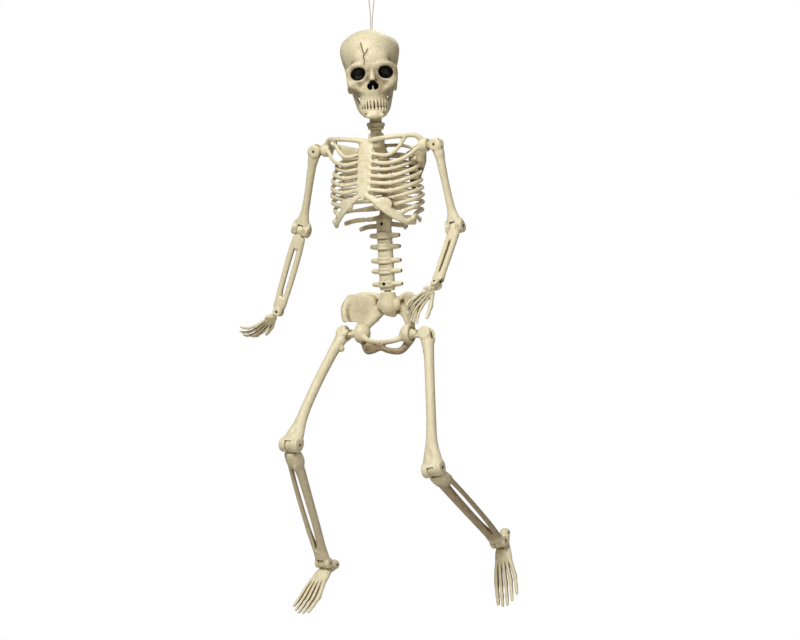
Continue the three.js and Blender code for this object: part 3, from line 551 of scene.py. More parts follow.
def bone_material():
    """Ivory moulded plastic with a brown wash that stays in the hollows, brown painted shade where the
    figure's sides and undersides fall out of the light, and black paint where inked.
    """
    m = Nodes("bone_plastic")
    cloud = m.noise(22, 3)
    mottle = m.noise(95, 5, 0.6)
    grain = m.noise(900, 3, 0.6)
    recess = m.attribute("recess")
    ridge = m.attribute("ridge")
    # painted shade: how much brown shade is painted on, on the sides and undersides out of the light
    stain = m.attribute("stain")
    paint = m.attribute("paint")
    ivory = m.blend(m.ranged(cloud, 0.35, 0.65), linear(234, 227, 200), linear(222, 212, 177))
    ivory = m.blend(m.ranged(mottle, 0.52, 0.72, 0, 0.35), ivory, linear(204, 190, 146))
    wash = m.maths("ADD", recess, m.ranged(mottle, 0.3, 0.7, -0.16, 0.16))
    wash = m.ranged(wash, 0.13, 0.52, 0, 0.95)
    tan = m.blend(m.ranged(cloud, 0.4, 0.6), linear(132, 108, 66), linear(112, 92, 55))
    colour = m.blend(wash, ivory, tan)
    # brown painted shade, broken up by the mottle
    painted_shade_amount = m.maths("MULTIPLY", stain, m.ranged(mottle, 0.35, 0.6, 0.45, 1))
    colour = m.blend(painted_shade_amount, colour, linear(118, 86, 52))
    worn = m.ranged(ridge, 0.32, 0.75, 0, 0.55)
    colour = m.blend(worn, colour, linear(238, 232, 208))
    colour = m.blend(paint, colour, linear(17, 16, 16))
    m.put(m.shader.inputs["Base Color"], colour)
    m.put(m.shader.inputs["Roughness"], m.ranged(m.maths("ADD", mottle, recess), 0.3, 1.3, 0.36, 0.62))
    m.shader.inputs["Specular IOR Level"].default_value = 0.5
    m.shader.inputs["Subsurface Weight"].default_value = 0.06
    m.shader.inputs["Subsurface Radius"].default_value = (0.003, 0.0022, 0.0012)
    soft = m.bump(mottle, 0.35, 0.0012)
    m.put(m.shader.inputs["Normal"], m.bump(grain, 0.2, 0.0002, soft))
    return m.material


def steel_material():
    """Dull browned screw steel."""
    m = Nodes("screw_steel")
    tarnish = m.noise(420, 4, 0.6)
    recess = m.attribute("recess")
    colour = m.blend(m.ranged(tarnish, 0.35, 0.7), linear(120, 112, 100), linear(82, 70, 56))
    colour = m.blend(m.ranged(recess, 0.3, 0.8), colour, linear(30, 26, 22))
    m.put(m.shader.inputs["Base Color"], colour)
    m.shader.inputs["Metallic"].default_value = 0.9
    m.put(m.shader.inputs["Roughness"], m.ranged(tarnish, 0.3, 0.7, 0.34, 0.6))
    m.put(m.shader.inputs["Normal"], m.bump(m.noise(2600, 2), 0.2, 0.0001))
    return m.material


def string_material():
    """Pale twisted twine: the strands wind along the string's own length."""
    m = Nodes("twine")
    place = m.add("TexCoord").outputs["Object"]
    turned_place = m.add("Mapping", {"Vector": place, "Rotation": (0, math.radians(38), 0)}).outputs[0]
    strands = m.add("TexWave", {"Vector": turned_place, "Scale": 420, "Distortion": 1.2, "Detail": 2},
                    bands_direction="Z").outputs["Fac"]
    fuzz = m.noise(3000, 3)
    colour = m.blend(m.ranged(strands, 0.2, 0.8), linear(168, 154, 128), linear(214, 204, 182))
    colour = m.blend(m.ranged(fuzz, 0.45, 0.75, 0, 0.5), colour, linear(232, 226, 208))
    m.put(m.shader.inputs["Base Color"], colour)
    m.shader.inputs["Roughness"].default_value = 0.9
    m.shader.inputs["Sheen Weight"].default_value = 0.3
    m.put(m.shader.inputs["Normal"], m.bump(strands, 0.8, 0.0003, m.bump(fuzz, 0.3, 0.0001)))
    return m.material


BONE = bone_material()
STEEL = steel_material()
TWINE = string_material()


# ---- Hanging string ----

# One string: up one strand, over the top of the loop and down the other, both ends in the knot. In mm.
STRING_ROUTE = [
    (-1.1, 0, -70), (-1.1, 0, -62), (-1.1, 0, -54), (-1.2, 0, -47), (-1.9, 0, -38), (-2.8, 0, -28),
    (-3.8, 0, -18),
    (-4.4, 0, -11), (-4.1, 0, -4.5), (-2.4, 0, -0.4), (0, 0, 0.9), (2.4, 0, -0.4), (4.1, 0, -4.5),
    (4.4, 0, -11),
    (3.8, 0, -18), (2.8, 0, -28), (1.9, 0, -38), (1.2, 0, -47), (1.1, 0, -54), (1.1, 0, -62), (1.1, 0, -70),
]
STRING_RADIUS = 0.75


def twine_mesh(route_mm, radius_mm):
    """A three-strand twisted tube along a route in the XZ plane. Returns the mesh and its path in m."""
    rows = spline([(*p, radius_mm, 0) for p in route_mm], 0.4)
    centres = rows[:, :3]
    tangents = np.gradient(centres, axis=0)
    tangents /= np.linalg.norm(tangents, axis=1, keepdims=True)
    travelled = np.concatenate([[0], np.cumsum(np.linalg.norm(np.diff(centres, axis=0), axis=1))])
    sides = 18
    angles = 2 * math.pi * np.arange(sides) / sides
    lay_angle = 2 * math.pi * travelled / 4.2
    lobes = radius_mm * (0.86 + 0.14 * np.cos(3 * (angles[None, :] - lay_angle[:, None])))
    across = np.cross(tangents, Y_AXIS)
    points = (centres[:, None, :] + (lobes * np.cos(angles))[:, :, None] * across[:, None, :]
              + (lobes * np.sin(angles))[:, :, None] * Y_AXIS)
    rings = len(centres)
    faces = [(r * sides + k, r * sides + (k + 1) % sides, (r + 1) * sides + (k + 1) % sides,
              (r + 1) * sides + k)
             for r in range(rings - 1) for k in range(sides)]
    faces += [tuple(range(sides))[::-1], tuple((rings - 1) * sides + k for k in range(sides))]
    mesh = bpy.data.meshes.new("cord_loop")
    mesh.from_pydata((points.reshape(-1, 3) * MM).tolist(), [], faces)
    mesh.polygons.foreach_set("use_smooth", np.ones(len(mesh.polygons), bool))
    mesh.materials.append(TWINE)
    return mesh, centres * MM


def add_string():
    mesh, path = twine_mesh(STRING_ROUTE, STRING_RADIUS)
    loop = show("cord_loop", mesh, "head")
    clay = Clay((-5, -5, -5), (5, 5, 5), 0.22)
    turns = np.linspace(0, 2 * math.pi, 40)
    trefoil = [(1.15 * (math.sin(t) + 2 * math.sin(2 * t)), 1.05 * (math.cos(t) - 2 * math.cos(2 * t)),
                -1.9 * math.sin(3 * t)) for t in turns]
    clay.add(thread(trefoil, 0.95, fine=0.8), 0.15)
    knot_place = (np.array((0, 0, -73.55)) * MM, np.eye(3))
    knot = mould("cord_knot", clay, knot_place, "head", TWINE)


add_string()


# ---- Head ----

CRANIUM = [
    # height, half width, front, back
    (-0.4, 8, -10, 10), (-2, 16, -20, 21), (-5, 24, -29, 32), (-10, 32.5, -38, 43), (-16, 39.5, -45, 51),
    (-24, 44, -49.5, 57), (-34, 45.3, -52, 60), (-47, 43, -52.5, 60), (-58, 40.5, -51, 57),
    (-70, 38, -46, 50),
    (-82, 35.5, -42, 38), (-94, 29, -36, 27),
]
SKULL_SPLIT_Y = 8
SKULL_BASE_Z = -94
NECK_HOLE = (3.2, 12)  # sideways and back of the head's own centre
SHELL = 4.2
EYE = (20.8, -68)  # sideways and up, of the left socket's middle
UPPER_ARCH = (20.0, 17.2, -30.5)  # half width, depth and middle y of the row of teeth
LOWER_ARCH = (18.8, 16.2, -30.5)
TOOTH_STEPS = [2.6, 7.4, 12.2, 17.2, 22.4]  # along the arch from the middle
TOOTH_HALF_WIDTHS = [2.35, 2.1, 2.2, 2.3, 2.5]


def surface_towards(clay, start, aim, reach=90.0):
    """The first point, from start along aim, where the clay ends. start is inside it."""
    aim = np.array(aim, float) / np.linalg.norm(aim)
    steps = np.arange(0, reach, 0.25)
    points = np.array(start, float) + steps[:, None] * aim
    outside = np.nonzero(clay.sample(points) > 0)[0]
    return points[outside[0]] if len(outside) else points[-1]


def face_point(clay, x, z):
    return surface_towards(clay, (x, -20, z), (0, -1, 0))


def tooth_place(arch, along):
    half, depth, middle = arch
    angle = along / (0.5 * (half + depth))
    return np.array((half * math.sin(angle), middle - depth * math.cos(angle))), angle


def teeth(arch, gum, neck, tip, root):
    """One row of teeth: each has a root ridge up to the height root, and a crown from neck to tip."""
    roots, crowns = [], []
    for side in (-1, 1):
        for along, half in zip(TOOTH_STEPS, TOOTH_HALF_WIDTHS):
            (x, y), angle = tooth_place(arch, along)
            wide = (math.cos(angle), side * math.sin(angle), 0)
            x *= side
            crowns += tube([(x, y + 0.4, gum, half * 0.7, 1.7), (x, y - 0.3, neck, half * 1.02, 2.3),
                            (x, y, tip, half * 0.92, 1.5)], wide=wide, fine=2)
            roots += tube([(x * 0.9, y + 3.2, root, half * 0.35, 1.2),
                           (x * 0.97, y + 1.6, (root + gum) / 2, 1.5, 1.5),
                           (x, y + 0.6, gum, half * 0.66, 1.5)], wide=wide, fine=3)
    return roots, crowns


def socket_ring(side):
    """Stations of the raised rim round an eye socket."""
    x0, z0 = EYE
    rows = []
    for k in range(17):
        turn = 2 * math.pi * k / 16
        out = math.cos(turn)
        x = x0 + 12.7 * out
        z = z0 + 11.2 * math.sin(turn) - 1.2 * out
        rows.append((side * x, -49.5 + 5.2 * (out + 1) ** 1.4 / 2, z, 2.2, 2.2))
    return rows


def crack(clay, rows):
    """A raised-edged crack across the forehead through points of x and z."""
    line = [face_point(clay, x, z) for x, z in rows]
    for shift in (-1.5, 1.5):
        clay.add(thread([point + (shift, 0.3, 0) for point in line], 0.9), 1.6)
    return line


def zigzag(clay, rows, centre, swing=1.5):
    """Points on the clay's surface along a wandering seam. rows are directions out of the centre."""
    dense = spline([(*r, 0, 0) for r in rows], 0.035)[:, :3]
    found = []
    for k, aim in enumerate(dense):
        step = dense[min(k + 1, len(dense) - 1)] - dense[max(k - 1, 0)]
        sideways = np.cross(step, aim)
        sideways /= np.linalg.norm(sideways)
        found.append(surface_towards(clay, centre,
                                     aim + sideways * swing / 50 * math.sin(2.4 * k) * (k % 3 - 0.6)))
    return found


def jaw_pin(side, x=JAW_PIN_X):
    """A point on one jaw screw's axis, in the head's frame."""
    return (side * x, *JAW_PIVOT[1:])


def cranium_clay():
    clay = Clay((-50, -66, -122), (50, 64, 5), 0.85)
    clay.add(stack(CRANIUM), 0.5)
    hollow = clay.value + SHELL
    clay.add(tube([(0, -31, -76, 24, 17), (0, -33, -90, 23, 16.5), (0, -33, -102, 21.5, 15.5),
                   (0, -32.5, -109.5, 19.6, 14.6), (0, -32.5, -113, 17.5, 13)]), 6)
    clay.add(ball((0, -38, -88), (21, 14, 14)), 8)
    clay.add(ball((0, -44, -48), (24, 8, 11)), 10)
    clay.add(ball((0, -47, -58), (8, 5.5, 5.5)), 5)
    nasal = tube([(0, -49, -58, 5, 3.6), (0, -52, -67, 4, 3.8), (0, -55.5, -77, 4.6, 3.6)])
    clay.add(nasal, 5)
    for side in (-1, 1):
        clay.carve(ball((side * 50.5, -16, -64), (11, 22, 14), turn_z=side * 9), 10)
        clay.add(tube(mirrored(side, [(7, -51.5, -57.5, 3.0, 3.2), (17, -51.5, -54.5, 3.2, 3.4),
                                      (28, -47.5, -56, 3.2, 3.2), (35, -41, -62, 2.8, 3.2)]),
                                      wide=Y_AXIS), 7)
        clay.add(tube(socket_ring(side), wide=Y_AXIS), 6)
        clay.add(ball((side * 29, -42.5, -83.5), (8, 7, 7)), 5)
        clay.add(tube(mirrored(side, [(15, -43, -95, 4, 5), (24, -44, -88.5, 4.5, 5),
                                      (32, -41.5, -82, 4, 5.2),
                                      (35.5, -31, -79.5, 2.4, 4.6), (35.8, -18, -78.5, 2.0, 4),
                                      (35.6, -4, -77.5, 2.2, 3.8), (34, 5, -74, 3.2, 4)])), 3)
        clay.add(tube(mirrored(side, [(35.5, -40, -63, 3, 3), (36.5, -38.5, -71, 3, 3),
                                      (34, -41, -80, 3.6, 3.8)])), 4)
        clay.add(ball((side * 33, 17, -88), (5, 8, 8.5)), 5)
        clay.add(drum("x", (side * 36, 4, -83), 7.4, 4, 1.6), 2)
    roots, crowns = teeth(UPPER_ARCH, -110.5, -113.2, -118.9, -97)
    clay.add(roots, 1.6)
    clay.add(crowns, 0.5)
    return clay, hollow


CRACK_LINES = [[(-13.4, -22), (-12.6, -27), (-11.6, -33), (-10.2, -39), (-10.8, -44), (-9.8, -48.5),
                (-10.6, -54)],
               [(-3.8, -32), (-6, -36), (-8.2, -38.2), (-10.2, -40.6)]]
SEAMS = [
    [(0, 1.0, 0.35), (0, 0.75, 0.8), (0, 0.25, 1.0), (0, -0.15, 1.0)],
    [(0.95, -0.25, 0.2), (0.7, -0.2, 0.75), (0, -0.15, 1.0), (-0.7, -0.2, 0.75), (-0.95, -0.25, 0.2)],
    [(0.85, 0.55, -0.3), (0.5, 0.9, 0.0), (0, 1.0, 0.35), (-0.5, 0.9, 0.0), (-0.85, 0.55, -0.3)],
]


def skull_clays():
    """The face and the back of the skull, each a shell in the head's frame, from one hollow form."""
    clay, hollow = cranium_clay()
    grooves = [crack(clay, rows) for rows in CRACK_LINES]
    grooves += [zigzag(clay, rows, (0, 4, -45)) for rows in SEAMS]
    for side in (-1, 1):
        x, z = EYE
        # a closed wall round the socket, so that nothing shows through it from the side
        clay.add(ball((side * (x + 0.6), -39.5, z), (14.2, 9.5, 12.5)), 2)
        # a rounded socket whose top slants down outwards
        clay.carve(ball((side * x, -50, z), (11.1, 13, 10.2)), 1.6)
        clay.carve(ball((side * (x - 3.2), -49, z + 2.4), (7.6, 11, 7)), 1.6)
        clay.carve(ball((side * (x + 3.2), -47, z - 2.4), (7.8, 11, 7.2)), 1.6)
        # the nose opening: an upside-down heart, its two lobes beside a low spine
        clay.carve(ball((side * 4.2, -54, -88.6), (4.5, 13, 5.4), turn_y=side * 16), 1.2)
        clay.carve(ball((side * 1.9, -55, -83), (2.8, 12, 4)), 1.2)
        # room for the lower jaw's ramus
        clay.carve(block((side * 30, 2, -102), (20, 30, 26), 3), 1)
        clay.carve(block((side * 31, 4, -88), (6.4, 19, 18), 1.6), 0.6)
        clay.carve(drum("x", jaw_pin(side, 41), 3, 9, 0.3), 0.4)
        clay.carve(drum("x", jaw_pin(side), HOLE, 30, 0.3), 0.4)
    clay.add(tube([(0, -50, -88, 0.8, 2.6), (0, -48.5, -95, 1.8, 3)], wide=X_AXIS), 1.4)
    for k, line in enumerate(grooves):
        clay.carve(thread(line, 0.95 if k < len(CRACK_LINES) else 0.6), 0.6)
    window = clay.window(np.array((-60, -37, -200)), np.array((60, 80, 0)))
    clay.value[window] = np.maximum(clay.value[window], -hollow[window])
    clay.carve(drum("z", (*NECK_HOLE, SKULL_BASE_Z), 12.5, 44, 1), 1)
    clay.carve(block((0, 22, SKULL_BASE_Z - 21), (120, 60, 40), 1), 1)
    clay.carve(drum("z", (5.3, 0, 0), 2.8, 30, 0.4), 0.6)
    face, back = clay, clay.copy()
    face.carve(half_space("y", SKULL_SPLIT_Y - GAP / 2, True), 0.4)
    back.carve(half_space("y", SKULL_SPLIT_Y + GAP / 2, False), 0.4)
    return face, back


def soft_step(value, low, high):
    t = np.clip((value - low) / (high - low), 0, 1)
    return t * t * (3 - 2 * t)


def socket_paint(points):
    """1 inside the eye sockets and the nose opening, where the black paint is."""
    x, y, z = np.abs(points[:, 0]), points[:, 1], points[:, 2]
    eye = np.hypot((x - EYE[0]) / 12.2, (z - EYE[1]) / 11)
    deep = soft_step(y, -47.5, -45.0)
    eye_ink = (1 - soft_step(eye, 0.92, 1.02)) * np.maximum(deep, 1 - soft_step(eye, 0.6, 0.85))
    nose = np.hypot(x / 9.4, (z + 87) / 8.6)
    nose_ink = (1 - soft_step(nose, 0.9, 1.0)) * soft_step(y, -51.5, -50)
    return np.clip(eye_ink + nose_ink, 0, 1) * (y < -30)


def face_painted_shade(points):
    """Brown painted shade down the left of the face and temple, the side away from the key light, thicker
    low down, with patches beside the nose, on the low cheek and by the right jaw.
    """
    x, y, z = points.T
    temple = soft_step(x, 24, 40) * (1 - soft_step(z, -62, -38)) * (1 - soft_step(y, -8, 14))
    beside_nose = np.exp(-(((x - 9) / 5) ** 2 + ((z + 84) / 12) ** 2)) * 0.7
    cheek = np.exp(-(((x - 20) / 13) ** 2 + ((z + 100) / 12) ** 2)) * 0.55
    other = np.exp(-(((x + 26) / 8) ** 2 + ((z + 94) / 8) ** 2)) * 0.35
    return np.clip(temple * 0.6 + beside_nose + cheek + other, 0, 0.85)


def lower_jaw_clay():
    clay = Clay((-40, -56, -140), (40, 18, -74), 0.7)
    for side in (-1, 1):
        clay.add(tube(mirrored(side, [(31, 4, -85, 2.2, 5), (29.6, 3, -92, 2.4, 7.6),
                                      (27.6, 1, -100, 2.8, 9),
                                      (24.4, -4, -110, 3.2, 9.4), (21.2, -15, -118, 3.6, 9),
                                      (15, -33, -126, 4, 7.6),
                                      (8.5, -42, -129.8, 4.2, 7), (0, -46, -131.2, 4.6, 6.6)])), 2.5)
        clay.add(tube(mirrored(side, [(27, -7, -98, 1.8, 4.4), (28, -9, -90, 1.4, 2.8)])), 2)
        clay.add(drum("x", jaw_pin(side), 5.8, 4.9, 1.2), 1.6)
        clay.add(ball((side * 8, -47, -133), (6, 4, 4)), 3)
    clay.add(ball((0, -49, -132.5), (6, 3.4, 4.4)), 3)
    gum_line = [(-15.5, -36), (-9, -43), (0, -45), (9, -43), (15.5, -36)]
    clay.add(tube([(x, y, -127, 3.4, 3.8) for x, y in gum_line], wide=Y_AXIS), 2)
    roots, crowns = teeth(LOWER_ARCH, -126.6, -124, -120.4, -133)
    clay.add(roots, 1.5)
    clay.add(crowns, 0.5)
    for side in (-1, 1):
        clay.carve(drum("x", jaw_pin(side), HOLE, 20, 0.3), 0.3)
        clay.carve(ball((side * 14, -43.5, -129), (1.2, 2.5, 1.0)), 0.8)
    return clay


def add_head():
    face, back = skull_clays()
    # black paint in the sockets and nose, and brown painted shade down the face
    paint_and_shade_layers = {"paint": socket_paint, "stain": face_painted_shade}
    mould_bone("skull_face", face, HEAD, "head", paint_and_shade_layers)
    mould_bone("skull_back", back, HEAD, "head", {"stain": face_painted_shade})
    mould_bone("lower_jaw", lower_jaw_clay(), HEAD, "jaw", {"stain": face_painted_shade})


add_head()


# ---- Neck ----

def add_neck():
    clay = Clay((-16, -16, -9), (16, 16, 86), 0.55)
    clay.add(drum("x", (0, 0, 0), 7, 8.8, 0.8), 0.5)
    clay.add(block((0, 0, 6), (8.8, 12, 12), 0.8), 1)
    clay.add(tube([(0, 0, 11, 8.6, 8.6), (0, 0, 40, 9.8, 9.8), (0, 0, 54, 10, 10),
                   (0, 0, 78, 9.6, 9.6)], fine=8), 1.5)
    for z, radius, height in ((14.5, 12.4, 4), (20, 13.8, 6.4), (34, 13.8, 6.4), (49.5, 12.8, 5.4),
                              (80.5, 12.8, 3.4)):
        clay.add(drum("z", (0, 0, z), radius, height, 2.0), 1.6)
    for z in (27, 42, 60, 69):
        clay.carve(thread([(9.6 * math.cos(t), 9.6 * math.sin(t), z) for t in np.linspace(0, 2 * math.pi,
                                                                                          20)], 0.5), 0.8)
    for z in (20, 34, 49.5):
        clay.add(tube([(0, 10, z, 3, 2.4), (0, 15, z - 1.5, 1.8, 1.6)], wide=X_AXIS), 1.5)
    clay.carve(drum("x", (0, 0, 0), HOLE, 30, 0.2), 0.3)
    mould_bone("neck_column", clay, TORSO, "neck")


add_neck()


# ---- Rib cage ----

RIB_SPLIT_Y = -3
# Each rib: height at the spine, widest half width, height at the side, lowest height in front, the front
# end's three coordinates, and how far back it reaches.
FULL_RIBS = [
    (-26, 66, -36, -50, 9, -40, -48, 33), (-37, 70, -47, -61, 9, -42, -59, 35),
    (-48, 73, -57, -71.5, 9, -44, -69, 38), (-60, 74, -68, -83, 9, -46, -80, 39),
    (-71, 75, -80, -93, 26, -46, -100, 40), (-81, 75, -91, -104, 37, -42.5, -110.5, 40),
    (-92, 74, -102, -115, 48, -36, -122, 39), (-105, 71, -113, -125, 60, -24, -130.5, 37),
]
BACK_RIBS = [(-119, 64, -128), (-130, 38, -138)]
RIB_THICK = 2.5
RIB_TALL = 3.4
HUB = (86, -3, -15)
SPINE = [(0, 9, -8), (0, 20, -30), (0, 29, -56), (0, 31, -82), (0, 25, -110), (0, 18, -139)]
SPINE_HALF_WIDTHS = [8, 8, 8, 8.6, 10.4, 11.4]
NECK_TONGUE = 4.9


def full_rib(side, spine_z, half, side_z, low_z, front_x, front_y, front_z, back):
    middle, depth = (front_y + back) / 2, (back - front_y) / 2
    thick, tall = RIB_THICK, RIB_TALL
    rows = [(3, back - 10, spine_z, thick, tall + 1.6),
            (half * 0.5, middle + depth * 0.87, spine_z + (side_z - spine_z) * 0.2, thick, tall + 1.2),
            (half * 0.94, middle + depth * 0.35, side_z + (spine_z - side_z) * 0.3, thick, tall),
            (half * 0.94, middle - depth * 0.35, side_z + (low_z - side_z) * 0.4, thick, tall),
            (max(half * 0.57, front_x + 8), middle - depth * (0.82 if front_x < 20 else 0.72),
             low_z, thick, tall),
            (front_x, front_y, front_z, thick, tall)]
    return tube(mirrored(side, rows), wide=(side, -0.6, 0.2), fine=5)


def back_rib(side, spine_z, half, tip_z):
    rows = [(4, 26 + (spine_z + 102) * 0.3, spine_z, 2.6, 3.8),
            (half * 0.45, 36, spine_z - 3, RIB_THICK, 3.8),
            (half * 0.85, 28, (spine_z + tip_z) / 2, RIB_THICK, 3.8), (half, 12, tip_z, 2.4, 3.6)]
    return tube(mirrored(side, rows), wide=(side, -0.3, 0), fine=5)


def costal_arch(side):
    rows = [(5, -47, -88, 2.8, 4.6), (20, -47, -97, 2.8, 6), (37, -42.5, -111, 2.8, 7.4),
            (50, -34, -122, 2.8, 6.6), (60, -24, -130.5, 3.2, 4.4), (67, -11, -131, 3.4, 4.4)]
    return tube(mirrored(side, rows), wide=(side, -0.8, 0), fine=5)


def chest_bars(side):
    """The two bars between the breastbone and the shoulder, with open windows above, between and below."""
    upper = [(8, -35, -25, 2.6, 3), (34, -34, -29, 2.6, 3), (50, -28, -20, 2.6, 3), (60, -22, -4, 2.8, 3)]
    lower = [(8, -37, -37, 2.6, 3.2), (36, -36, -41, 2.6, 3.2), (60, -25, -34, 2.6, 3.2),
             (74, -14, -22, 2.6, 3.2),
             (82, -6, -14, 3, 3.4)]
    return [tube(mirrored(side, rows), wide=(side, -0.8, 0), fine=5) for rows in (upper, lower)]


def add_shoulder_girdle(clay, side):
    x, y, z = HUB
    collar = [(8, -31, -6, 4.6, 4.6), (16, -33, -4, 4.0, 4.0), (34, -33, -2, 3.6, 3.6),
              (60, -22, 0, 3.7, 3.6),
              (74, -13, 0, 3.8, 3.8), (x - 4, y - 4, z + 8, 4.2, 4.8)]
    clay.add(tube(mirrored(side, collar), wide=Y_AXIS), 3)
    clay.add(drum("x", (side * (x - 2), y, z), 10.3, 12.8, 1.6), 2.5)
    scapular_spine = [(x - 4, y + 5, z + 4, 4, 4), (72, 20, -10, 3, 3.6), (52, 34, -18, 2.8, 3.4),
                      (34, 37, -24, 2.2, 2.6)]
    clay.add(tube(mirrored(side, scapular_spine), wide=Y_AXIS), 3)
    blade = [(70, 20, -14, 2.0, 5), (58, 31, -27, 1.8, 17), (50, 35.5, -44, 1.8, 15), (44, 38, -62, 1.8, 9),
             (40, 39, -76, 1.8, 3.8)]
    clay.add(tube(mirrored(side, blade), wide=(side * 0.35, 1, 0)), 2)
    rim = [(73, 21, -20, 2, 2), (67, 28, -38, 2, 2), (56, 35, -58, 2, 2), (42, 38.5, -78, 2, 2),
           (37, 39, -62, 2, 2),
           (37, 37, -40, 2, 2), (38, 36, -26, 2, 2)]
    clay.add(tube(mirrored(side, rim), wide=Y_AXIS), 2)
    clay.add(tube(mirrored(side, [(3, 12, -12, 2.8, 3.6), (28, 26, -12, 2.6, 3.4), (50, 33, -18, 2.6, 3.4)]),
                  wide=Z_AXIS), 2)


def breastbone(clay):
    clay.add(tube([(0, -30, -4, 12.4, 3), (0, -33, -14, 12.8, 3.4), (0, -36, -26, 12.4, 3.2),
                   (0, -42, -60, 12.2, 3.2), (0, -46, -82, 12, 3), (0, -47.5, -89, 5.6, 2.8),
                   (0, -49, -96, 2.4, 2)],
                  fine=5), 2)
    clay.carve(ball((0, -30, 0.8), (4.5, 6, 4)), 2)
    for z, y in ((-26, -38.6), (-37, -40.6), (-48, -42.6), (-59, -44.6), (-69, -46.6)):
        clay.carve(thread([(x, y - 0.8, z) for x in (-8, 0, 8)], 0.5), 1.2)


def rib_cage_clays():
    """The front and back mouldings, parted on a level plane, with the fork that carries the neck."""
    clay = Clay((-94, -58, -148), (94, 54, 14), 0.85)
    clay.add(tube([(*p, half, 7) for p, half in zip(SPINE, SPINE_HALF_WIDTHS)], fine=6), 2)
    for side in (-1, 1):
        for rib in FULL_RIBS:
            clay.add(full_rib(side, *rib), 1.6)
        for rib in BACK_RIBS:
            clay.add(back_rib(side, *rib), 1.6)
        clay.add(costal_arch(side), 2.2)
        for bar in chest_bars(side):
            clay.add(bar, 1.6)
        # the plate of cartilage below the breastbone
        clay.add(ball((side * 31, -44, -103), (15, 3, 11), turn_z=side * 20), 2)
        for _, half, _, low_z, front_x, front_y, front_z, back in FULL_RIBS[1:]:
            # a knuckle where the cartilage meets each rib
            middle, depth = (front_y + back) / 2, (back - front_y) / 2
            reach = max(half * 0.57, front_x + 8)
            clay.add(ball((side * reach, middle - depth * (0.82 if front_x < 20 else 0.72), low_z),
                          (3.6, 3, 4.2)), 2)
        add_shoulder_girdle(clay, side)
    breastbone(clay)
    spine = spline([(*p, 0, 0) for p in SPINE], 12)
    for x, y, z in spine[1:-1, :3]:
        clay.add(drum("z", (0, y, z), 8.8, 6.5, 1.6), 1.6)
        clay.add(tube([(0, y + 7, z, 2, 3.4), (0, y + 12.5, z - 4, 1.6, 2.6)]), 2)
    for x, y, z in HUB, (-HUB[0], HUB[1], HUB[2]):
        clay.carve(drum("x", (x, y, z), 5.5, 40, 0.3), 0.4)
        clay.carve(drum("x", (x - math.copysign(4, x), y, z), 8, 5, 0.3), 0.4)
    front, back = clay, clay.copy()
    front.carve(block((0, 0, -5), (24, 19, 30), 1), 0.6)
    front.carve(half_space("y", RIB_SPLIT_Y - GAP / 2, True), 0.4)
    back.carve(block((0, 0, 6), (24, 19, 20), 1), 0.6)
    back.carve(half_space("y", RIB_SPLIT_Y + GAP / 2, False), 0.4)
    back.carve(block((0, 17 - 10 + GAP / 2, -144), (30, 20, 40), 0.3), 0.4)
    back.carve(block((0, 25, -149), (24, 30, 20), 0.3), 0.4)
    back.add(drum("x", (0, 0, 0), 7.9, 21, 1.2), 1)
    back.add(block((0, 2, -8), (21, 13.6, 16), 2), 2)
    back.add(tube([(0, 3, -8, 9.6, 6.6), (0, 12, -20, 8.6, 7.6)]), 3)
    back.carve(block((0, 0, 10), (2 * NECK_TONGUE, 40, 37), 0.6), 0.4)
    back.carve(drum("x", (0, 0, 0), HOLE, 30, 0.3), 0.3)
    for side in (-1, 1):
        back.carve(drum("x", (side * 12.6, 0, 0), POCKET, 5.6, 0.3), 0.3)
    back.carve(drum("y", (0, 17, -131), HOLE, 40, 0.3), 0.3)
    back.carve(drum("y", (0, 8, -131), POCKET, 4, 0.3), 0.3)
    return front, back


def rib_shade(points):
    """Brown painted shade on the inside of the back of the ribs, where the cage is in shadow."""
    x, y, _ = points.T
    inside = 1 - soft_step(np.hypot(x / 72, (y + 3) / 41), 0.9, 1.0)
    return 0.55 * soft_step(y, 4, 20) * inside


def add_rib_cage():
    front, back = rib_cage_clays()
    mould_bone("rib_cage_front", front, TORSO, "torso")
    mould_bone("rib_cage_back", back, TORSO, "torso", {"stain": rib_shade})


add_rib_cage()


# ---- Lower spine ----

VERTEBRAE = [-149, -166, -187, -203, -223]
WAIST = (0, 22, -234)
WAIST_PEG_RADIUS = 5


def lumbar_y(z):
    return 16 + (WAIST[1] - 16) * (z + 131) / (WAIST[2] + 131)


def add_vertebra(clay, z):
    y = lumbar_y(z)
    clay.add(drum("z", (0, y, z), 13, 10.4, 2.4), 0.6)
    clay.carve(thread([(14.2 * math.cos(t), y + 14.2 * math.sin(t), z - 0.6) for t in np.linspace(0, 6.3,
                                                                                                  24)],
                                                                                                  1.4), 2)
    clay.add(tube([(-22.6, y + 1.5, z + 0.3, 3.6, 4.4), (-15, y + 1, z, 4.2, 7), (0, y, z, 4.4, 8.5),
                   (15, y + 1, z, 4.2, 7), (22.6, y + 1.5, z + 0.3, 3.6, 4.4)], wide=Z_AXIS), 1.2)
    clay.add(tube([(0, y + 8, z, 2.6, 3.4), (0, y + 12, z - 1, 2, 3)]), 2)


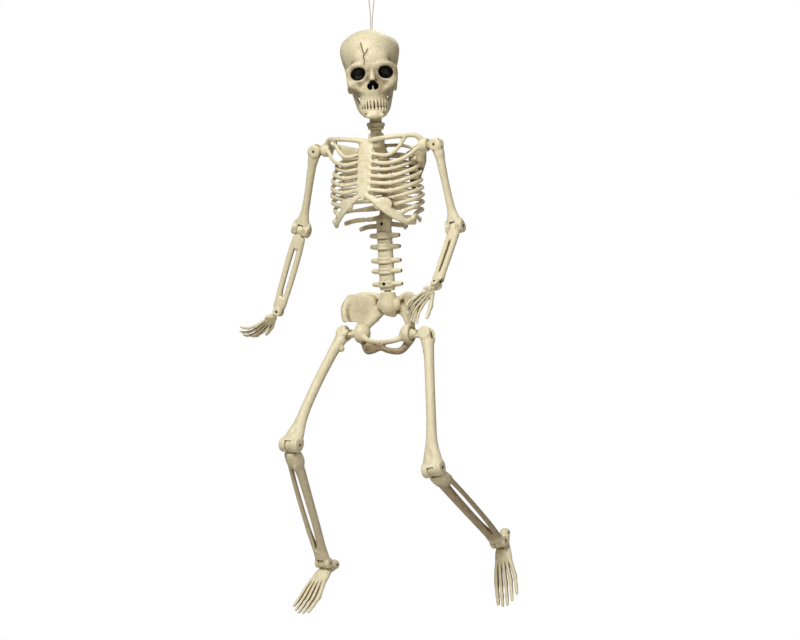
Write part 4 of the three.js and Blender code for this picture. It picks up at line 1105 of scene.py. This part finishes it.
def add_lumbar_spine():
    clay = Clay((-26, -2, -238), (26, 42, -118), 0.65)
    clay.add(tube([(0, lumbar_y(-126) - 3, -126.5, 11.2, 4.6), (0, lumbar_y(-140), -140, 12, 8.8),
                   (0, lumbar_y(-180), -180, 12.2, 9.8), (0, lumbar_y(-228), -228, 12.2, 9.8)], fine=10), 1)
    for z in VERTEBRAE:
        add_vertebra(clay, z)
    clay.carve(block((0, 32 - GAP, -124.4), (40, 30, 30), 0.3), 0.4)
    clay.carve(drum("y", (0, 17, -131), HOLE, 40, 0.3), 0.3)
    clay.carve(drum("y", (0, 8, -131), POCKET, 5.6, 0.3), 0.3)
    clay.carve(drum("z", WAIST, WAIST_PEG_RADIUS + GAP, 48, 0.3), 0.3)
    clay.carve(drum("y", (0, WAIST[1], -223), HOLE, 40, 0.3), 0.3)
    clay.carve(drum("y", (0, WAIST[1] - 11.6, -223), POCKET, 6, 0.3), 0.3)
    clay.carve(block((0, WAIST[1], WAIST[2] - 8.4), (60, 60, 20), 0.3), 0.4)
    mould_bone("lumbar_spine", clay, TORSO, "torso")
    x, y, z = WAIST
    peg = Clay((-9, y - 9, z - 20), (9, y + 9, z + 24), 0.5)
    peg.add(drum("z", (x, y, z + 3), WAIST_PEG_RADIUS, 37, 0.8), 0.4)
    peg.add(drum("z", (x, y, z - 16), 7.4, 3.9, 0.8), 0.8)
    peg.carve(drum("y", (0, y, -223), HOLE, 30, 0.2), 0.3)
    mould_bone("waist_peg", peg, TORSO, "torso")


add_lumbar_spine()


# ---- Arms ----

SHOULDER_PIVOT_OFFSET = 18
UPPER_ARM = distance_mm("shoulder_raise_left", "elbow_left")
FOREARM = distance_mm("elbow_left", "wrist_left")


def fork_slot(clay, centre, size):
    clay.carve(block(centre, size, 0.5), 0.5)


def screw_hole(clay, axis, centre, length, head_end, beyond=10):
    """A hole that runs on beyond each end of the screw, and a pocket for its head at one end."""
    pocket = list(centre)
    pocket["xyz".index(axis)] += head_end * (length / 2 + 3)
    clay.carve(drum(axis, centre, HOLE, length + 2 * beyond, 0.2), 0.3)
    clay.carve(drum(axis, pocket, POCKET, 10.6, 0.4), 0.4)


def add_shoulder_hub(side, name, place):
    clay = Clay((-28, -9, -9), (28, 9, 9), 0.5)
    clay.add(drum("x", (side * -1, 0, 0), 5, 14, 0.8), 0.5)
    clay.add(drum("x", (side * -4, 0, 0), 7.5, 4, 1), 0.8)
    clay.add(block((side * 12, 0, 0), (13, 6, 9), 1), 1)
    clay.add(drum("y", (side * SHOULDER_PIVOT_OFFSET, 0, 0), 6.5, 6, 0.9), 1)
    clay.carve(drum("y", (side * SHOULDER_PIVOT_OFFSET, 0, 0), HOLE, 30, 0.2), 0.3)
    mould_bone(f"shoulder_hub_{name}", clay, place, f"shoulder_{name}")


def add_upper_arm(side, name, place):
    clay = Clay((-20, -15, -146), (20, 15, 14), 0.65)
    clay.add(drum("y", (0, 0, 0), 9.9, 17.6, 3.2), 1)
    clay.add(tube(mirrored(side, [(1, 0, -4, 9.4, 8.4), (1.6, 0, -16, 8.2, 7.8), (1.4, 0, -24, 6.8, 7),
                                  (1, 0, -42, 6.2, 6.4), (0.4, 0.6, -62, 5.6, 5.9), (0, 1, -84, 5.8, 6),
                                  (0, 1, -104, 7, 6.2), (0, 0, -119, 11.5, 7.6),
                                  (0, 0, -UPPER_ARM, 13, 8.6)])), 2.5)
    clay.add(ball((side * 6, -4, -3), (4.5, 4.5, 6)), 3)
    clay.add(drum("x", (0, 0, -UPPER_ARM), 9.8, 28, 2.4), 2)
    for end in (-1, 1):
        clay.add(ball((end * 12.4, 0, 5.5 - UPPER_ARM), (2.4, 4.6, 8)), 3)
        clay.carve(ball((end * 7.8, -10, 3 - UPPER_ARM), (3.0, 2.2, 6)), 2)
    clay.carve(ball((0, -10.4, 13 - UPPER_ARM), (4.6, 3.8, 5)), 2.5)
    clay.carve(thread(mirrored(side, [(-3.5, -8, -10), (-2.6, -7.6, -24), (-1.5, -6.8, -34)]), 1.0), 2)
    fork_slot(clay, (0, 0, 12), (60, 6 + 2 * PLAY, 40.5))
    fork_slot(clay, (0, 0, -UPPER_ARM - 11), (8.4 + 2 * PLAY, 60, 41))
    screw_hole(clay, "y", (0, 0, 0), 18, 1)
    screw_hole(clay, "x", (0, 0, -UPPER_ARM), 27, side)
    mould_bone(f"upper_arm_{name}", clay, place, f"upper_arm_{name}")


def add_forearm(side, name, place):
    clay = Clay((-17, -13, -144), (17, 13, 12), 0.6)
    clay.add(tube([(0, 0, -9.5, 9.2, 5.6), (0, 0, -17, 10.4, 6.3), (0, 0, -27, 9.4, 5.6)]), 1)
    clay.carve(drum("x", (0, 0, 0), 10.9, 60, 0.5), 0.5)
    clay.add(drum("x", (0, 0, 0), 8.6, 8.4, 0.9), 0.5)
    clay.add(block((0, 0, -9), (8.4, 11, 12), 1), 1)
    clay.add(tube(mirrored(side, [(-5, 0, -17, 5, 5.2), (-6.2, 0.8, -30, 4.7, 4.9),
                                  (-6.5, 1.2, -48, 4.6, 4.7),
                                  (-6.4, 1.2, -76, 4.4, 4.5), (-5.8, 1, -100, 4.2, 4.4),
                                  (-4.4, 0.4, -116, 4.6, 4.8)]),
                  wide=X_AXIS), 1.6)
    clay.add(tube(mirrored(side, [(5, 0, -17, 5, 5.2), (6.4, -0.5, -30, 4.7, 4.9),
                                  (6.8, -0.8, -48, 4.6, 4.7),
                                  (6.7, -0.9, -76, 4.5, 4.6), (6.2, -0.8, -100, 4.5, 4.7),
                                  (4.8, 0, -116, 5.3, 5.3)])), 1.6)
    clay.add(tube([(0, 0, -112, 9.4, 6), (0, 0, -121, 9.4, 7), (0, 0, -FOREARM + 3, 8.2, 7.2)]), 2)
    clay.add(drum("y", (0, 0, -FOREARM), 6.9, 15, 1.8), 1.6)
    clay.add(ball((side * 8, 0, -123), (2.6, 4.4, 5)), 2.5)
    clay.carve(tube([(0, -8, -104, 0.8, 1.2), (0, -8.2, -114, 1.2, 1.8), (0, -8.4, -124, 0.7, 1)]), 2)
    clay.carve(drum("x", (0, 0, 0), HOLE, 40, 0.2), 0.3)
    fork_slot(clay, (0, 0, -FOREARM - 12), (60, 5.6 + 2 * PLAY, 40))
    screw_hole(clay, "y", (0, 0, -FOREARM), 15, 1)
    mould_bone(f"forearm_{name}", clay, place, f"forearm_{name}")


# Each finger: forward offset and height of its knuckle, its splay in degrees, then the lengths of its three
# bones.
FINGERS = [
    (-9.5, -42, -14, 16, 11, 8), (-3.4, -45, -5, 17.5, 12, 8.5), (2.8, -44, 4, 16.5, 11.5, 8),
    (8.6, -41, 13, 13.5, 9, 7),
]
FINGER_CURL = (22, 42, 58)  # degrees from straight, of each bone in turn


def twisted(angle, rows):
    """Rows turned about the vertical axis of their frame."""
    cos, sin = math.cos(math.radians(angle)), math.sin(math.radians(angle))
    return [(row[0] * cos - row[1] * sin, row[0] * sin + row[1] * cos, *row[2:]) for row in rows]


def finger_rows(palmar, y, z, splay, *lengths):
    """Stations down a metacarpal and its three finger bones, thicker at each joint."""
    rows = [(0, y * 0.55, -17, 2.8, 2.8), (0.2 * palmar, y * 0.66, -17 + (z + 17) * 0.25, 2.2, 2.4),
            (0.4 * palmar, y * 0.8, -17 + (z + 17) * 0.55, 2.0, 2.2),
            (0.7 * palmar, y * 0.94, -17 + (z + 17) * 0.85, 2.5, 2.7)]
    along, aside = math.cos(math.radians(splay)), math.sin(math.radians(splay))
    joint = np.array((palmar, y, z), float)
    rows.append((*joint, 3.0, 3.1))
    for length, curl, near, shaft, far in zip(lengths, FINGER_CURL, (2.6, 2.3, 1.9), (2.0, 1.8, 1.6),
                                              (2.5, 2.1, 1.3)):
        bent, straight = math.sin(math.radians(curl)), math.cos(math.radians(curl))
        step = length * np.array((palmar * bent, straight * aside, -straight * along))
        for share, half in ((0.18, near), (0.5, shaft), (0.82, (shaft + far) / 2), (1.0, far)):
            rows.append((*(joint + share * step), half, half * 1.05))
        joint = joint + step
    return rows


def add_hand(side, name, place):
    palmar, twist = -side, HAND_TWIST[name]
    wide = np.array((*twisted(twist, [(1, 0)])[0], 0.3))
    clay = Clay((-38, -38, -84), (38, 38, 10), 0.5)
    carpals = [((-4.4, -14.5), 4.2), ((2.6, -13.5), 4.4), ((7.2, -17), 3.6), ((-6.6, -20.5), 3.6),
               ((-1.4, -21.5), 3.9),
               ((4.2, -21.8), 3.7)]
    for (y, z), radius in carpals:
        centre = twisted(twist, [(0, y)])[0]
        clay.add(ball((*centre, z), (radius, radius, radius * 0.95)), 1.4)
    clay.add(tube(twisted(twist, [(0, 0, -11, 3.4, 7.4), (0, 0, -17, 3.4, 9), (0, 0, -23, 2.6, 7.6)]),
                  wide=wide), 1.6)
    clay.carve(drum("y", (0, 0, 0), 7.6, 60, 0.5), 0.5)
    clay.add(drum("y", (0, 0, 0), 6, 5.6, 0.9), 0.5)
    clay.add(block((0, 0, -6), (7, 5.6, 10), 0.9), 1.2)
    for finger in FINGERS:
        clay.add(tube(twisted(twist, finger_rows(palmar, *finger)), wide=wide, fine=3), 0.7)
    thumb = [(palmar, -6, -13, 3, 3), (2.5 * palmar, -12, -22, 2.9, 3), (3.6 * palmar, -15.5, -27, 3.5, 3.6),
             (4.5 * palmar, -18, -31, 3.6, 3.6), (5.6 * palmar, -20, -36, 2.9, 3),
             (6.5 * palmar, -22, -40, 3.1, 3.1),
             (7.6 * palmar, -23.8, -44, 2.5, 2.6), (8.5 * palmar, -25, -47.5, 1.8, 1.9)]
    clay.add(tube(twisted(twist, thumb), wide=wide, fine=3), 0.9)
    clay.carve(drum("y", (0, 0, 0), HOLE, 30, 0.2), 0.3)
    mould_bone(f"hand_{name}", clay, place, f"hand_{name}")


# ---- Screws ----

def add_screw(name, body, place, axis, centre, length, head_end):
    """A pan-headed pivot screw with a cross recess."""
    k = "xyz".index(axis)
    centre = np.array(centre, float)
    reach = np.full(3, 3.6)
    reach[k] = length / 2 + 1.5
    clay = Clay(centre - reach, centre + reach, 0.24)
    along = np.zeros(3)
    along[k] = head_end
    clay.add(drum(axis, centre, SCREW, length, 0.4), 0.1)
    head = centre + along * (length / 2 - 0.8)
    clay.add(drum(axis, head, *SCREW_HEAD, 0.5), 0.4)
    top = centre + along * (length / 2 + 0.1)
    for wide_index in range(3):
        if wide_index != k:
            size = np.full(3, 0.6)
            size[k] = 1.6
            size[wide_index] = 2.8
            clay.carve(block(top, size, 0.15), 0.15)
    mould(name, clay, place, body, STEEL)


# ---- Pelvis ----

HIP_CUP_X = 42
HIP_PIVOT_OFFSET = 31
HIP_BALL = 10
WAIST_IN_PELVIS = (0, 8, 64.5)
WAIST_PLAY = 1.4


def add_pelvis_half(clay, side):
    wing = [(46, -1, 2, 3.2, 9), (46, 0, 11, 2.8, 15), (44, 2, 21, 2.4, 22), (42, 4, 32, 2.0, 30),
            (41, 4, 46, 2.0, 31), (40, 5, 56, 2.4, 24)]
    clay.add(tube(mirrored(side, wing), wide=(side * 0.62, 0.78, 0), fine=5), 3)
    crest = [(12, 16, 50, 4, 5), (26, 15, 59, 3.4, 3.8), (42, 8, 60, 3.4, 3.8), (55, -2, 54.5, 3.4, 3.8),
             (63, -12, 44, 3.6, 4.2), (64, -16, 31, 3.6, 4.4), (61, -14, 18, 3.6, 4.8),
             (54, -9, 8, 4.4, 5.4), (45, -3, 0, 5, 6)]
    clay.add(tube(mirrored(side, crest), wide=Y_AXIS), 3.5)
    clay.add(tube(mirrored(side, [(9, 18, 46, 6, 6), (27, 18, 35, 5, 5.5), (39, 13, 18, 5, 5.5),
                                  (41, 5, 3, 7, 7)]),
                  wide=Y_AXIS), 4)
    # the web that rounds off the top of the opening between the hips
    clay.add(tube(mirrored(side, [(2, 23, 38, 5, 7), (14, 22, 36, 4.5, 6.5), (27, 17, 28, 4.5, 6.5),
                                  (38, 9, 14, 5, 6)]),
                  wide=Y_AXIS), 3)
    clay.add(tube(mirrored(side, [(38, -5, -3, 5, 6), (24, -11, -10, 3.6, 3.8), (8, -13, -13, 3.8, 4),
                                  (-1, -13, -15, 3.8, 4.6)]), wide=Y_AXIS), 3)
    clay.add(tube(mirrored(side, [(-1, -13, -20, 3.6, 4.4), (14, -11, -25.5, 3.6, 4.6),
                                  (30, -3, -25.5, 4.4, 5.4),
                                  (40, 5, -12, 6, 6)]), wide=Y_AXIS), 3)
    clay.add(ball((side * HIP_CUP_X, 0, 0), (13.8, 14.8, 14.8)), 3)
    clay.add(ball((side * 63.5, -14, 30), (4, 4.4, 5)), 3)


def pelvis_shade(points):
    """Brown painted shade on the low bar between the hips, which faces down out of the light, and a little
    in the hollow of each wing.
    """
    x, y, z = points.T
    low_bar = 0.95 * (1 - soft_step(z, -20, -8))
    hollow = np.exp(-(((np.abs(x) - 42) / 15) ** 2 + ((z - 33) / 17) ** 2)) * (1 - soft_step(y, 4, 12))
    return low_bar + 0.3 * hollow


def add_pelvis():
    clay = Clay((-80, -36, -40), (80, 40, 72), 0.75)
    clay.add(tube([(0, 8, 61, 11.8, 10.8), (0, 9.5, 50, 14, 12), (0, 10, 42, 13.5, 12),
                   (0, 12.5, 38, 12.8, 11), (0, 20, 33, 9.6, 7.4), (0, 24, 30, 6, 5)]), 1.5)
    for side in (-1, 1):
        add_pelvis_half(clay, side)
        clay.add(ball((side * 14, 12, 45), (6, 7, 9)), 3)
    # the opening low on the right is moulded shut
    clay.add(ball((-17, -10.5, -18.5), (13, 3.6, 7)), 2)
    clay.carve(block((0, -17.2, -17), (0.9, 1.6, 13), 0.4), 1.2)
    for side in (-1, 1):
        x = side * HIP_CUP_X
        clay.carve(ball((x, 0, 0), (HIP_BALL + 1,) * 3), 0.6)
        clay.carve(drum("x", (x + side * 18, 0, 0), 10.4, 30, 0.5), 0.6)
        clay.carve(block((x + side * 36, 0, 0), (60, 34, 36), 2), 0.8)
    _, waist_y, waist_z = WAIST_IN_PELVIS
    clay.carve(drum("z", WAIST_IN_PELVIS, WAIST_PEG_RADIUS + WAIST_PLAY, 48, 0.3), 0.4)
    clay.carve(drum("z", (0, waist_y, waist_z - 16), 7.5 + WAIST_PLAY, 4 + 2 * WAIST_PLAY, 0.3), 0.3)
    clay.carve(block((0, waist_y, waist_z + 9.2), (40, 40, 20), 0.3), 0.4)
    mould_bone("pelvis", clay, PELVIS, "pelvis", {"stain": pelvis_shade})


add_pelvis()


# ---- Legs ----

THIGH = distance_mm("hip_spread_left", "knee_left")
SHIN = distance_mm("knee_left", "ankle_left")
KNEE_RADIUS = 11.6
ANKLE_RADIUS = 8.5


def add_hip_hub(side, name, place):
    clay = Clay((-40, -12, -12), (40, 12, 12), 0.55)
    clay.add(ball((0, 0, 0), (HIP_BALL,) * 3), 0.5)
    clay.add(drum("x", (side * 10, 0, 0), 6, 11, 1), 1.2)
    clay.add(block((side * 21.5, 0, 0), (17, 8, 11), 1), 1)
    clay.add(drum("y", (side * HIP_PIVOT_OFFSET, 0, 0), 8.5, 8, 0.9), 1)
    clay.carve(drum("y", (side * HIP_PIVOT_OFFSET, 0, 0), HOLE, 30, 0.2), 0.3)
    mould_bone(f"hip_hub_{name}", clay, place, f"hip_{name}")


def add_thigh(side, name, place):
    clay = Clay((-24, -19, -240), (24, 19, 15), 0.75)
    clay.add(drum("y", (0, 0, 0), 10.9, 19.4, 3.4), 1)
    clay.add(tube(mirrored(side, [(0, 0, -6, 9.8, 9), (1.8, 0, -16, 9.6, 8.8), (3, -0.6, -30, 8.2, 8.2),
                                  (3.4, -1.6, -52, 7.5, 7.7), (3.4, -3, -95, 7.3, 7.5),
                                  (2.6, -3, -138, 7.5, 7.6),
                                  (1.2, -2.4, -166, 8.6, 8), (0.4, -1.6, -182, 11, 8.6),
                                  (0, -1, -196, 14.4, 9.4),
                                  (0, 0, -208, 15.8, 10.3)]), fine=6), 2.5)
    clay.add(ball((side * 8.5, 2, -8), (4.6, 6, 8)), 4)
    clay.add(ball((side * -5.5, 4, -26), (3.6, 4.6, 5)), 3)
    clay.add(drum("x", (0, 0, -THIGH), 11.4, 32.6, 3.2), 2.5)
    for end in (-1, 1):
        clay.add(ball((end * 14.2, 1, -THIGH + 5), (3, 8, 9)), 3)
        clay.carve(ball((end * 9.5, -14, 7 - THIGH), (4, 3, 8)), 3)
    clay.carve(ball((0, -13, -196), (5.5, 4.5, 8)), 3)
    fork_slot(clay, (0, 0, 10), (60, 8 + 2 * PLAY, 41))
    # the shin's tongue only ever swings back, so the front is cut no higher than its round end
    clay.carve(drum("x", (0, 0, -THIGH), 9.7, 10 + 2 * PLAY, 0.3), 0.4)
    fork_slot(clay, (0, 0, -THIGH - 30), (10 + 2 * PLAY, 60, 60))
    fork_slot(clay, (0, 14, -THIGH), (10 + 2 * PLAY, 20, 36))
    screw_hole(clay, "y", (0, 1.5, 0), 17, 1, beyond=0)
    screw_hole(clay, "x", (0, 0, -THIGH), 32, side)
    mould_bone(f"thigh_{name}", clay, place, f"thigh_{name}")


# how strongly brown shade is painted down each shin, most on the left, which hangs more in shadow
SHIN_PAINTED_SHADE = {"right": 0.25, "left": 0.7}


def shin_painted_shade(strength):
    """Brown painted shade down the front of a shin, which faces down out of the key light, as a function of
    points.
    """
    def tint(points):
        _, y, z = points.T
        along = soft_step(-z, 18, 40) * (1 - soft_step(-z, SHIN - 26, SHIN - 6))
        return strength * along * (1 - soft_step(y, 1, 6))
    return tint


def add_shin(side, name, place):
    clay = Clay((-21, -15, -216), (21, 15, 14), 0.7)
    clay.add(tube([(0, -0.6, -16, 15, 8), (0, -0.4, -19.5, 15.8, 9.4), (0, 0, -29, 15.6, 10.2),
                   (0, 0, -33, 13.5, 9.6), (0, 0, -36, 9.6, 8.4)],
                  fine=3), 1)
    clay.carve(drum("x", (0, 0, 0), KNEE_RADIUS + 1.8, 60, 0.6), 0.6)
    clay.add(drum("x", (0, 0, 0), 8.9, 10, 1), 0.5)
    clay.add(block((0, 0, -10), (10, 11, 14), 1.2), 1.2)
    clay.add(tube(mirrored(side, [(-2, 0, -27, 10.6, 8.8), (-3.4, -0.4, -37, 8.8, 8.2),
                                  (-5, -0.4, -52, 7.2, 7.4),
                                  (-5.5, -0.4, -94, 6.3, 6.9), (-5.5, 0, -144, 6, 6.2),
                                  (-4.2, 0, -174, 6.8, 6.4),
                                  (-2.4, 0, -192, 9, 7.2)]), fine=6), 2)
    clay.add(ball((side * -3, -8.6, -36), (3.4, 3, 6)), 3)
    clay.add(ball((side * 10, 2, -29), (5.4, 5.2, 6)), 1.5)
    clay.add(tube(mirrored(side, [(9.6, 1, -29, 4.8, 5), (11.6, 0.4, -39, 3.9, 4.2),
                                  (12.6, 0, -62, 3.6, 3.8),
                                  (12.6, 0, -97, 3.6, 3.8), (11.2, 0, -148, 3.8, 4),
                                  (8.8, 0, -176, 4.4, 4.6),
                                  (6, 0, -195, 5.2, 5.8)]), fine=6), 1.4)
    clay.add(tube([(0, 0, -188, 10.6, 7.4), (0, 0, -198, 12.2, 8.1), (0, 0, -SHIN + 2, 11.8, 7.5)]), 2)
    clay.add(drum("x", (0, 0, -SHIN), 8.4, 24, 1.8), 1.4)
    clay.add(ball((side * 11, 0, -SHIN - 2), (2.4, 5, 7)), 2.5)
    clay.add(ball((side * -11, 0, -SHIN), (2.4, 5.4, 7)), 2.5)
    clay.carve(tube([(side * 4.6, -8.8, -182, 0.7, 1.2), (side * 3.6, -9.2, -194, 1.1, 1.8)]), 2)
    clay.carve(drum("x", (0, 0, 0), HOLE, 40, 0.2), 0.3)
    fork_slot(clay, (0, 0, -SHIN - 15), (9.4 + 2 * PLAY, 60, 48))
    screw_hole(clay, "x", (0, 0, -SHIN), 23, side)
    mould_bone(f"shin_{name}", clay, place, f"shin_{name}", {"stain": shin_painted_shade(SHIN_PAINTED_SHADE[name])})


# Each toe: sideways offset and forward reach at the ball of the foot, then at the tip.
TOES = [
    (-16.4, -58, -15.6, -91), (-8.3, -61, -7.8, -95), (0, -61, 0.5, -95), (8.3, -57, 8.8, -89),
    (16, -51, 17.4, -80),
]


def toe_rows(x, y, tip_x, tip_y, big):
    stops = [(0.0, 3.4, 3.4), (0.1, 3.1, 3.1), (0.32, 2.6, 2.5), (0.5, 3.0, 2.7), (0.6, 2.9, 2.5),
             (0.74, 2.5, 2.1),
             (0.86, 2.7, 2.0), (1.0, 2.0, 1.6)]
    rows = [(x * 0.6, -20, -14, 3.9, 4.4), (x * 0.72, -20 + (y + 20) * 0.25, -14.4, 3.3, 3.6),
            (x * 0.86, -20 + (y + 20) * 0.55, -16, 3.0 * big, 3.2),
            (x * 0.96, -20 + (y + 20) * 0.86, -18.6, 3.2 * big, 3.2)]
    rows += [(x + (tip_x - x) * t, y + (tip_y - y) * t, -20 - 2.5 * t, half * big,
              deep * big) for t, half, deep in stops]
    return rows


def add_foot(side, name, place):
    clay = Clay((-24, -101, -34), (24, 34, 13), 0.6)
    clay.add(tube([(0, 22, -20, 7, 7), (0, 14, -18.6, 8, 7.4), (0, 5, -15.8, 9, 6.8), (0, -6, -13.2, 12, 7),
                   (0, -16, -13.4, 14, 6.4), (0, -25, -14.6, 14.4, 5)], fine=4), 1.5)
    clay.add(ball((0, 23, -21.5), (7, 5.8, 7)), 3)
    for x, y, z, radius in ((-6.4, -14, -11.6, 4.4), (1, -13, -11, 4.2), (7.4, -12, -13, 4),
                            (-7.4, -23, -13, 4),
                            (-1.6, -24, -13, 3.8), (4.4, -23, -14, 3.8), (9, -20, -15, 3.6)):
        clay.add(ball((side * x * 1.15, y, z + 0.6), (radius, radius, radius * 0.9)), 1.4)
    clay.carve(drum("x", (0, 0, 0), ANKLE_RADIUS + 0.6, 60, 0.5), 0.5)
    clay.add(drum("x", (0, 0, 0), 7.9, 9.4, 1), 0.5)
    clay.add(block((0, 0, -8), (9.4, 14, 14), 1.4), 1.5)
    for k, toe in enumerate(TOES):
        clay.add(tube(mirrored(side, toe_rows(*toe, 1.15 if k == 0 else 1.0)), fine=3), 0.8)
    clay.carve(drum("x", (0, 0, 0), HOLE, 40, 0.2), 0.3)
    clay.carve(drum("x", (0, 20, -19), HOLE, 40, 0.2), 0.4)
    mould_bone(f"foot_{name}", clay, place, f"foot_{name}")


# ---- Both sides of every limb, and all the screws ----

def add_limbs(name, side):
    places = limb_frames(name)
    add_shoulder_hub(side, name, places["shoulder"])
    add_upper_arm(side, name, places["upper_arm"])
    add_forearm(side, name, places["forearm"])
    add_hand(side, name, places["hand"])
    add_hip_hub(side, name, places["hip"])
    add_thigh(side, name, places["thigh"])
    add_shin(side, name, places["shin"])
    add_foot(side, name, places["foot"])
    screws = [
        ("shoulder", "upper_arm", "y", (0, 0, 0), 18, 1),
        ("elbow", "upper_arm", "x", (0, 0, -UPPER_ARM), 27, side),
        ("wrist", "forearm", "y", (0, 0, -FOREARM), 15, 1), ("hip", "thigh", "y", (0, 1.5, 0), 17, 1),
        ("knee", "thigh", "x", (0, 0, -THIGH), 32, side), ("ankle", "shin", "x", (0, 0, -SHIN), 23, side),
    ]
    for joint, body, axis, centre, length, head_end in screws:
        add_screw(f"{joint}_screw_{name}", f"{body}_{name}", places[body], axis, centre,
                  length - 2 * GAP, head_end)
    add_screw(f"jaw_screw_{name}", "head", HEAD, "x", jaw_pin(side, 32), 11.4 - 2 * GAP, side)


for name, side in SIDES.items():
    add_limbs(name, side)
add_screw("neck_screw", "torso", TORSO, "x", (0, 0, 0), 21 - 2 * GAP, 1)
add_screw("spine_screw", "torso", TORSO, "y", (0, 17, -131), 17 - 2 * GAP, -1)
add_screw("waist_screw", "torso", TORSO, "y", (0, WAIST[1], -223), 19 - 2 * GAP, -1)
